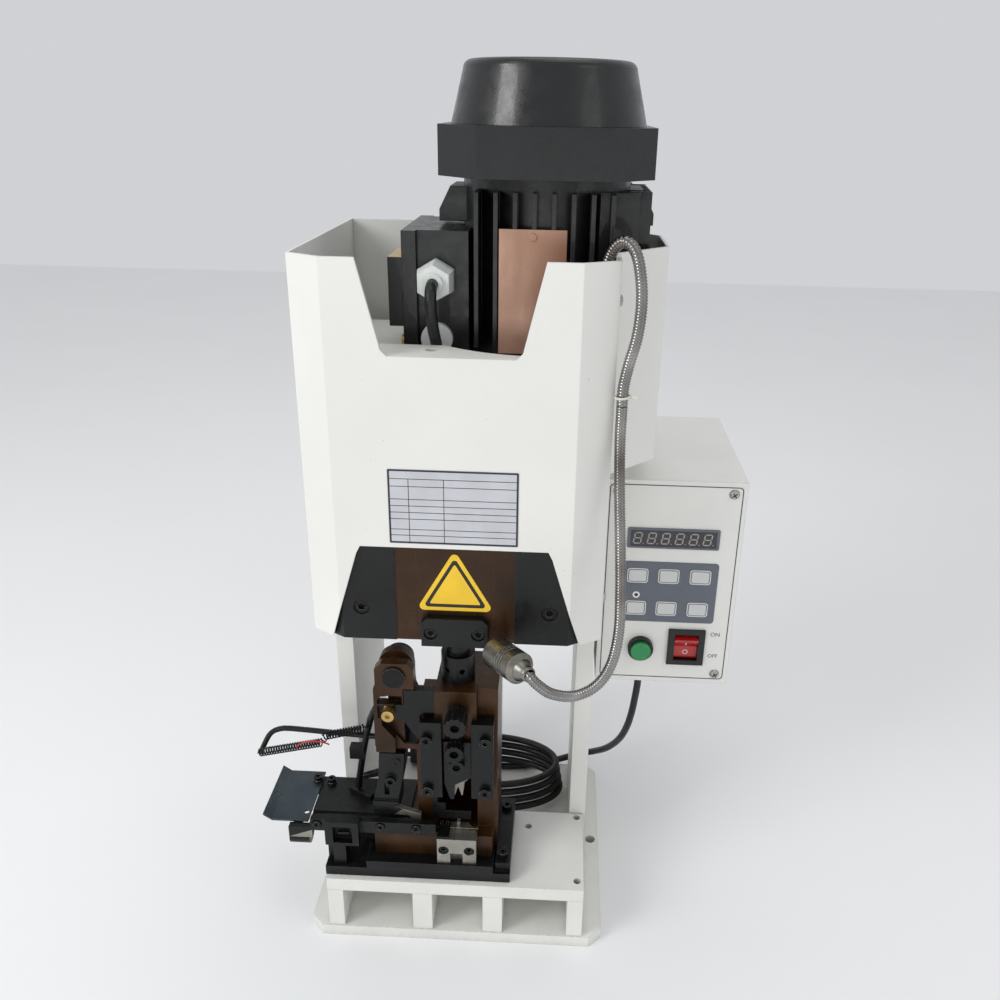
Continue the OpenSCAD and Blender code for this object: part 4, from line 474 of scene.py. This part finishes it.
coil = [Vector(coil_point(i / COIL_STEPS)) for i in range(COIL_LOOPS * COIL_STEPS + 1)]
before_tail = [coil_point(COIL_LOOPS - 1 / 24), coil_point(COIL_LOOPS)]
tail = blend_curve(before_tail + tail_route, CURVE_STEPS)[CURVE_STEPS + 1:]
path = blend_curve(cord_route, CURVE_STEPS)[:-1] + coil + tail
path = even([p * MM for p in path], EVEN_STEP)
cord = link("mains_cord", tube("mains_cord", path, CORD_R, 12), rubber, "frame", True)
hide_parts("power_cord", "cord_coil")

motor_route = [
    (-17.5, -14, 526), (-17.5, -30, 526), (-17.5, -45, 525), (-17.2, -51, 519), (-16.8, -51, 508), (-16.3,
        -46, 496),
    (-16, -37, 486), (-16, -31, 476), (-16, -29, 468), (-16, -29, 458), (-16, -29, 450)]
mp = even([p * MM for p in blend_curve(motor_route, 6)], 0.002)
lead = link("motor_lead", tube("motor_lead", mp, 0.004, 14), rubber, "frame", True)
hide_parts("motor_cable")

# bendable lamp arm
upper_route = [
    (97, -57, 470), (97, -57, 490), (97, -57, 515), (98, -58, 540), (102, -61, 555), (109, -65, 561), (116,
        -69, 555),
    (120, -71, 540), (121.5, -72, 522), (120, -72, 502), (116, -71.5, 484), (113.5, -71, 470), (113, -71,
        462),
    (113, -71, 455)]
lower_route = [
    (113, -71, 454.7), (113, -71, 448), (113, -73, 430), (114, -80, 400), (116, -90, 365), (117.5, -101,
        332),
    (117.5, -110, 303), (113, -116, 280), (103, -120, 265), (88, -124, 259), (73, -127.5, 262.5), (63, -130,
        271),
    (57, -128.2, 276.5), (54, -124.5, 277), (51.5, -121, 276.5)]


def hose(name, route, node, body):
    pts = even([p * MM for p in blend_curve(route, 8)], HOSE_STEP)
    shape = [3.42, 3.85, 4.0, 3.85]
    obj = link(name, tube(name, pts, lambda i: shape[i % 4] * MM, 12), chrome, body, True)
    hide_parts(node)
    return obj


hose("lamp_hose_upper", upper_route, "gooseneck_upper", "frame")
hose("lamp_hose_lower", lower_route, "gooseneck_lower", "lamp")

# lamp parts stand on the lamp head's own axis
head_at = Vector((51.5, -121, 276.5)) * MM
head_turn = Matrix.Rotation(math.radians(127), 4, "Z") @ Matrix.Rotation(math.radians(96), 4, "Y")
head_m = Matrix.Translation(head_at) @ head_turn


def on_lamp(name, profile, mat, seg=48):
    me = lathe(name, profile, seg)
    me.transform(head_m)
    return link(name, me, mat, "lamp", True)


on_lamp("lamp_ferrule", [(4.1, -9.0), (5.2, -8.6), (5.4, -7), (6.4, -3), (8.2, -0.4), (8.2, 0.3)],
        lampmetal)
on_lamp("lamp_lens", [(0.01, 29.2), (3.5, 29.0), (6.5, 28.5), (8.4, 28.1)], lens)
on_lamp("lamp_bezel", [(8.3, 28.3), (9.2, 30.5), (9.9, 33.4), (10.6, 34.05), (11.0, 34.0)], lampmetal)

# tie round the hose
tie = []
for k in range(28):
    a = 2 * math.pi * k / 28
    tie.append(Vector((113.1 + 4.9 * math.cos(a), -71 + 4.9 * math.sin(a), 461 + 0.6 * math.cos(a))) * MM)
tie_mesh = tube("tie_band", tie, 0.0009, 6, closed=True)
tail = tube("tie_tail", [Vector(p) * MM for p in ((118, -72, 461.5), (121, -74, 461.8),
                                                  (124.5, -75.5, 461.0))], 0.001, 6)
link("hose_tie", joined("hose_tie", [tie_mesh, tail]), tie_mat, "frame", True)

# springs with hooks, and the red lead on them


SPRING_R = 3.05
SPRING_WIRE_R = 0.0006
SPRING_STEPS = 16


def spring(name, a, b, curls, hook_a, hook_b):
    """A wound spring between two points, with a hook at each end."""
    a, b = Vector(a), Vector(b)
    d = (b - a).normalized()
    u = d.cross(Vector((0, 1, 0))).normalized()
    w = d.cross(u)
    n = curls * SPRING_STEPS
    turn = 2 * math.pi / SPRING_STEPS
    pts = [a + (b - a) * (i / n) + SPRING_R * (math.cos(i * turn) * u + math.sin(i * turn) * w)
           for i in range(n + 1)]
    pts = [Vector(p) for p in hook_a] + pts + [Vector(p) for p in hook_b]
    obj = link(name, tube(name, [p * MM for p in pts], SPRING_WIRE_R, 8), oxide, "frame", True)
    return obj


s1 = spring("spring_long", (-166, -54.7, 141), (-114, -54.7, 153.8), 24,
            [(-167.5, -47, 139), (-168.8, -50.5, 138.5), (-168.5, -53.5, 139)], [(-111, -54.7, 154.5),
                (-109.5, -52, 156), (-109.5, -48.5, 156.6)])
s2 = spring("spring_short", (-111, -54.7, 160.5), (-79, -54.7, 169.5), 14,
            [(-113, -48, 159), (-114, -51.3, 159.3), (-113, -53.5, 159.8)], [(-77, -54, 170),
                (-75.5, -52, 170.4), (-75.5, -49.5, 170.2)])
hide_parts("tension_spring")
rw = even([p * MM for p in blend_curve([(-134, -58.4, 149.5), (-133, -58.9, 153), (-127, -59.0, 156.5),
                                        (-119, -58.9, 158),
                                        (-112, -58.6, 157), (-107, -57.8, 154.5)], 6)], 0.0015)
link("red_lead", tube("red_lead", rw, 0.0006, 8), red_wire, "frame", True)

# counter box front
PANEL_Y = 15.0
link("panel_line", ring_band("panel_line", round_rect(113.6, 219.6, 183.2, 363.2, 3.5),
                             round_rect(114.4, 218.8, 184.0, 362.4, 2.9),
                             PANEL_Y - 0.12, PANEL_Y), line_ink, "frame")
pad = link("keypad", outline_plate("keypad", round_rect(129, 206.5, 238.5, 295, 3), PANEL_Y - 0.6, PANEL_Y,
                                   0.25), grey_film, "frame")
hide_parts("membrane_panel")
window = ring_band("window_frame", round_rect(130, 204.5, 307.5, 325.5, 1.4),
                   round_rect(132.4, 202.1, 309.3, 323.7, 0.8), PANEL_Y - 1.0, PANEL_Y - 0.1)
link("window_frame", window, grey_film, "frame")
link("window_glass", outline_plate("window_glass", round_rect(132.2, 202.3, 309.1, 323.9, 0.8),
                                   PANEL_Y - 0.55, PANEL_Y, 0.1), window_dark, "frame")
segs = {"a": ((-1, 1), (1, 1)), "g": ((-1, 0), (1, 0)), "d": ((-1, -1), (1, -1)),
        "f": ((-1, 1), (-1, 0)), "b": ((1, 1), (1, 0)), "e": ((-1, 0), (-1, -1)), "c": ((1, 0), (1, -1))}
DIGIT_START, DIGIT_PITCH, DIGIT_Z = 138.4, 11.3, 316.4
DIGIT_HALF_W, DIGIT_HALF_H, DIGIT_LEAN = 2.9, 4.7, 0.75
BAR_HALF, BAR_GAP, BAR_TIP = 0.55, 0.75, 0.45
BAR_FRONT, BAR_BACK = PANEL_Y - 0.68, PANEL_Y - 0.56


def digit_point(cx, u, v):
    return (cx + u * DIGIT_HALF_W + v * DIGIT_LEAN, DIGIT_Z + v * DIGIT_HALF_H)


digits = []
for k in range(6):
    cx = DIGIT_START + DIGIT_PITCH * k
    for (ax, az), (bx, bz) in segs.values():
        x0, z0 = digit_point(cx, ax, az)
        x1, z1 = digit_point(cx, bx, bz)
        dx, dz = x1 - x0, z1 - z0
        length = math.hypot(dx, dz)
        dx, dz = dx / length, dz / length
        x0, z0, x1, z1 = x0 + dx * BAR_GAP, z0 + dz * BAR_GAP, x1 - dx * BAR_GAP, z1 - dz * BAR_GAP
        t = BAR_HALF
        pts = [(x0 - dx * BAR_TIP, z0 - dz * BAR_TIP), (x0 + dz * t, z0 - dx * t),
               (x1 + dz * t, z1 - dx * t),
               (x1 + dx * BAR_TIP, z1 + dz * BAR_TIP), (x1 - dz * t, z1 + dx * t), (x0 - dz * t,
                   z0 + dx * t)]
        digits.append(outline_plate("segment", pts, BAR_FRONT, BAR_BACK))
    digits.append(outline_plate("segment", round_rect(cx + 4.1, cx + 5.1, DIGIT_Z - 5.3, DIGIT_Z - 4.3, 0.4,
                                                      3), BAR_FRONT, BAR_BACK))
link("display_digits", joined("display_digits", digits), digit_mat, "frame")
keys, rims = [], []
for x in (140.5, 166, 192):
    for z in (251.5, 282):
        rims.append(ring_band("rim", round_rect(x - 8.6, x + 8.6, z - 6.6, z + 6.6, 2.4),
                              round_rect(x - 7.9, x + 7.9, z - 5.9, z + 5.9,
                                         1.9), PANEL_Y - 0.85, PANEL_Y - 0.5))
        keys.append(outline_plate("key", round_rect(x - 7.2, x + 7.2, z - 5.2, z + 5.2, 1.5),
                                  PANEL_Y - 1.15, PANEL_Y - 0.5, 0.3))
link("key_rims", joined("key_rims", rims), white_film, "frame")
link("key_tops", joined("key_tops", keys), key_film, "frame")
link("mark_ring", outline_plate("mark_ring", round_rect(137.3, 143.3, 261, 267, 2.99, 8), PANEL_Y - 0.85,
                                PANEL_Y - 0.5, 0.1), white_film, "frame")
link("mark_lamp", outline_plate("mark_lamp", round_rect(138.8, 141.8, 262.5, 265.5, 1.49, 8), PANEL_Y - 1.1,
                                PANEL_Y - 0.8, 0.1), black_print_and_shade, "frame")


def words(name, body, x, z, size, mat):
    cu = bpy.data.curves.new(name, "FONT")
    cu.body = body
    cu.size = size * MM
    cu.extrude = 0.00004
    cu.align_x = "CENTER"
    obj = bpy.data.objects.new(name, cu)
    scene.collection.objects.link(obj)
    obj.matrix_world = Matrix.Translation(Vector((x, PANEL_Y - 0.05,
                                                  z)) * MM) @ Matrix.Rotation(math.radians(90), 4, "X")
    cu.materials.append(mat)
    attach(obj, "frame")
    return obj


words("mark_on", "ON", 209.4, 226, 5.2, line_ink)
words("mark_off", "OFF", 209.0, 205, 4.8, line_ink)

# marks on the rocker
i_mark = outline_plate("mark_i", [(185.1, 217.0), (185.9, 217.0), (185.9, 220.6), (185.1, 220.6)], -0.05,
                       0.12)
o_mark = ring_band("mark_o", round_rect(183.2, 187.8, -2.3, 2.3, 2.29, 8),
                   round_rect(183.8, 187.2, -1.7, 1.7, 1.69, 8), -0.12, 0.05)
tilt = math.atan2(4.5, 8.1)
i_mark.transform(Matrix.Translation(Vector((0, 15.42, 215)) * MM) @ Matrix.Rotation(tilt, 4,
    "X") @ Matrix.Translation(Vector((0, 0, -215)) * MM))
o_mark.transform(Matrix.Translation(Vector((0, 15.72, 209.3)) * MM) @ Matrix.Rotation(math.atan2(0.5, 11.5),
    4, "X"))
link("rocker_marks", joined("rocker_marks", [i_mark, o_mark]), white_film, "rocker")

# panel screw crosses: black plates standing in for the shade inside the cross recesses of the zinc screw heads
# (painted shade)
SCREWS_X, SCREWS_Z = (120.5, 212.3), (188.7, 357)
ARM, ARM_HALF = 2.4, 0.4
cross = []
for x in SCREWS_X:
    for z in SCREWS_Z:
        a = 0.6 + 0.013 * x + 0.01 * z
        for turn in (a, a + math.pi / 2):
            dx, dz = math.cos(turn), math.sin(turn)
            pts = [(x + u * dx * ARM + v * dz * ARM_HALF, z + u * dz * ARM - v * dx * ARM_HALF)
                   for u, v in ((-1, -1), (1, -1), (1, 1), (-1, 1))]
            cross.append(outline_plate("cross", pts, PANEL_Y - 2.6, PANEL_Y - 1.6))
link("screw_cross_shades", joined("screw_cross_shades", cross), black_print_and_shade, "frame")

# plain label and triangle plate
LABEL_Y = -81.0
link("label_plate", outline_plate("label_plate", round_rect(-45.5, 45.5, 351.5, 408, 1), LABEL_Y - 0.22,
                                  LABEL_Y, 0.05), label_film, "frame")
bars = [ring_band("rim", round_rect(-45.2, 45.2, 351.8, 407.7, 0.8),
                  round_rect(-43.9, 43.9, 353.1, 406.4, 0.4), LABEL_Y - 0.3, LABEL_Y - 0.2)]


def strip(x0, x1, z0, z1):
    bars.append(outline_plate("bar", [(x0, z0), (x1, z0), (x1, z1), (x0, z1)], LABEL_Y - 0.3,
                              LABEL_Y - 0.2))


LINE_HALF = 0.22
rows = [400.8, 395.2, 385.6, 380.6, 375.6, 370.6, 362.6, 358.0]
for z in rows:
    strip(-44, 44, z - LINE_HALF, z + LINE_HALF)
for x in (-31.0, -6.5):
    strip(x - LINE_HALF, x + LINE_HALF, 353, 400.8)
link("label_lines", joined("label_lines", bars), label_ink, "frame")


def round_tri(x, z0, z1, half, r, seg=6):
    """A triangle, point up, with rounded corners."""
    corners = [(x - half, z0), (x + half, z0), (x, z1)]
    pts = []
    for i in range(3):
        p, q, s = Vector(corners[i]), Vector(corners[i - 1]), Vector(corners[(i + 1) % 3])
        u, v = (q - p).normalized(), (s - p).normalized()
        ang = u.angle(v)
        mid = (u + v).normalized()
        c = p + mid * (r / math.sin(ang / 2))
        a0 = math.atan2(*reversed((p + u * (r / math.tan(ang / 2))) - c))
        a1 = math.atan2(*reversed((p + v * (r / math.tan(ang / 2))) - c))
        while a1 - a0 > math.pi:
            a1 -= 2 * math.pi
        while a1 - a0 < -math.pi:
            a1 += 2 * math.pi
        for k in range(seg + 1):
            a = a0 + (a1 - a0) * k / seg
            pts.append((c.x + r * math.cos(a), c.y + r * math.sin(a)))
    return pts


TRIANGLE_Y = -77.0
link("triangle_plate", outline_plate("triangle_plate", round_tri(0, 296, 345.5, 28.6, 3.4),
                                     TRIANGLE_Y - 0.6, TRIANGLE_Y, 0.12), yellow, "press_ram")
link("triangle_edging", ring_band("triangle_edging", round_tri(0, 299, 339.5, 23.4, 2.2),
                                  round_tri(0, 301.6, 334.5, 19.0,
                                            0.9), TRIANGLE_Y - 0.68, TRIANGLE_Y - 0.55),
     black_print_and_shade, "press_ram")

# terminals on their strip
bits = []


def box(x0, x1, y0, y1, z0, z1):
    v = [Vector((x, y, z)) * MM for z in (z0, z1) for y in (y0, y1) for x in (x0, x1)]
    return mesh_of("box", v, [(0, 2, 3, 1), (4, 5, 7, 6), (0, 1, 5, 4), (2, 6, 7, 3), (0, 4, 6, 2),
                              (1, 3, 7, 5)])


bits.append(box(-38, -15.6, -86.3, -85.3, 98.6, 99.0))
bits.append(box(-15.6, 17.5, -86.6, -85.4, 100.35, 100.7))
for k in range(5):
    x = -31 + 6.2 * k - (1.5 if k == 4 else 0)
    z = 98.7 if x < -16 else 100.4
    bits.append(box(x - 0.9, x + 0.9, -85.4, -79.6, z, z + 0.35))
    for s in (-1, 1):
        bits.append(box(x + s * 0.95 - 0.15, x + s * 0.95 + 0.15, -84.6, -82.6, z, z + 1.9))
        bits.append(box(x + s * 0.8 - 0.15, x + s * 0.8 + 0.15, -81.6, -79.8, z, z + 1.3))
for x in (-2.3, -0.9, 3.8, 5.2):
    bits.append(box(x - 0.15, x + 0.15, -85.3, -84.5, 99.3, 100.6))
link("terminal_strip", joined("terminal_strip", bits), tin, "frame")

# two finishes on one node
for side in ("left_gib", "right_gib"):
    by_place(side, oxide, brown, lambda c: abs(c.x) < 43.45)
by_place("crimp_punch", oxide, ground, lambda c: c.y > -84.02 and c.z < 160)
by_place("feed_lever", oxide, brown, lambda c: c.z > 168)
lever = NODES["feed_lever"]
lever.data.materials.append(ground)
lever.data.materials.append(brass)
for p in lever.data.polygons:
    c = p.center / MM
    if c.z > 200 and c.y < -76.2:
        p.material_index = 3
    elif -50.5 < c.x < -28 and c.y < -80.9 and c.z < 119.2 and c.x > -46.9 - 3.2:
        p.material_index = 2 if c.x > -46.9 else 0
by_place("strip_track", oxide, ground,
         lambda c: -124 < c.x < -118.4 and 80 < c.z < 94.5 and c.y < -78.8)
by_place("terminal_box_lid", motor, brass, lambda c: c.x < -41.5 and not (493 < c.z < 541))

# floor and light
floor = mesh_of("floor", [(-3, -3, 0), (3, -3, 0), (3, 3, 0), (-3, 3, 0)], [(0, 1, 2, 3)])
fm = bpy.data.materials.new("floor")
fm.use_nodes = True
fb = fm.node_tree.nodes["Principled BSDF"]
fn = Nodes(fm.node_tree)
fcol = fn.mix(fn.noise(fn.new("ShaderNodeTexCoord").outputs["Object"], 3.0), (0.86, 0.86, 0.86, 1),
              (0.9, 0.9, 0.9, 1))
fm.node_tree.links.new(fcol, fb.inputs["Base Color"])
fb.inputs["Roughness"].default_value = 0.7
fobj = link("floor", floor, fm)
world = bpy.data.worlds.new("world")
scene.world = world
world.use_nodes = True
world.node_tree.nodes["Background"].inputs[0].default_value = (0.95, 0.97, 1.0, 1)
world.node_tree.nodes["Background"].inputs[1].default_value = 0.66


def area(name, loc, target, size, power, color=(1, 1, 1)):
    light = bpy.data.lights.new(name, "AREA")
    light.shape = "RECTANGLE"
    light.size, light.size_y = size
    light.energy = power
    light.color = color
    obj = bpy.data.objects.new(name, light)
    scene.collection.objects.link(obj)
    d = Vector(target) - Vector(loc)
    obj.matrix_world = Matrix.Translation(loc) @ d.to_track_quat("-Z", "Y").to_matrix().to_4x4()


area("key", (-1.35, -1.0, 1.35), (0, 0, 0.35), (0.7, 0.9), 15)
area("fill", (1.4, -1.0, 0.9), (0, 0, 0.3), (0.7, 1.0), 2.0)
area("top", (0.2, 0.2, 2.1), (0, 0, 0.3), (1.2, 1.2), 5)
area("low", (-0.1, -1.4, 0.25), (0, 0, 0.25), (0.9, 0.4), 1.4)
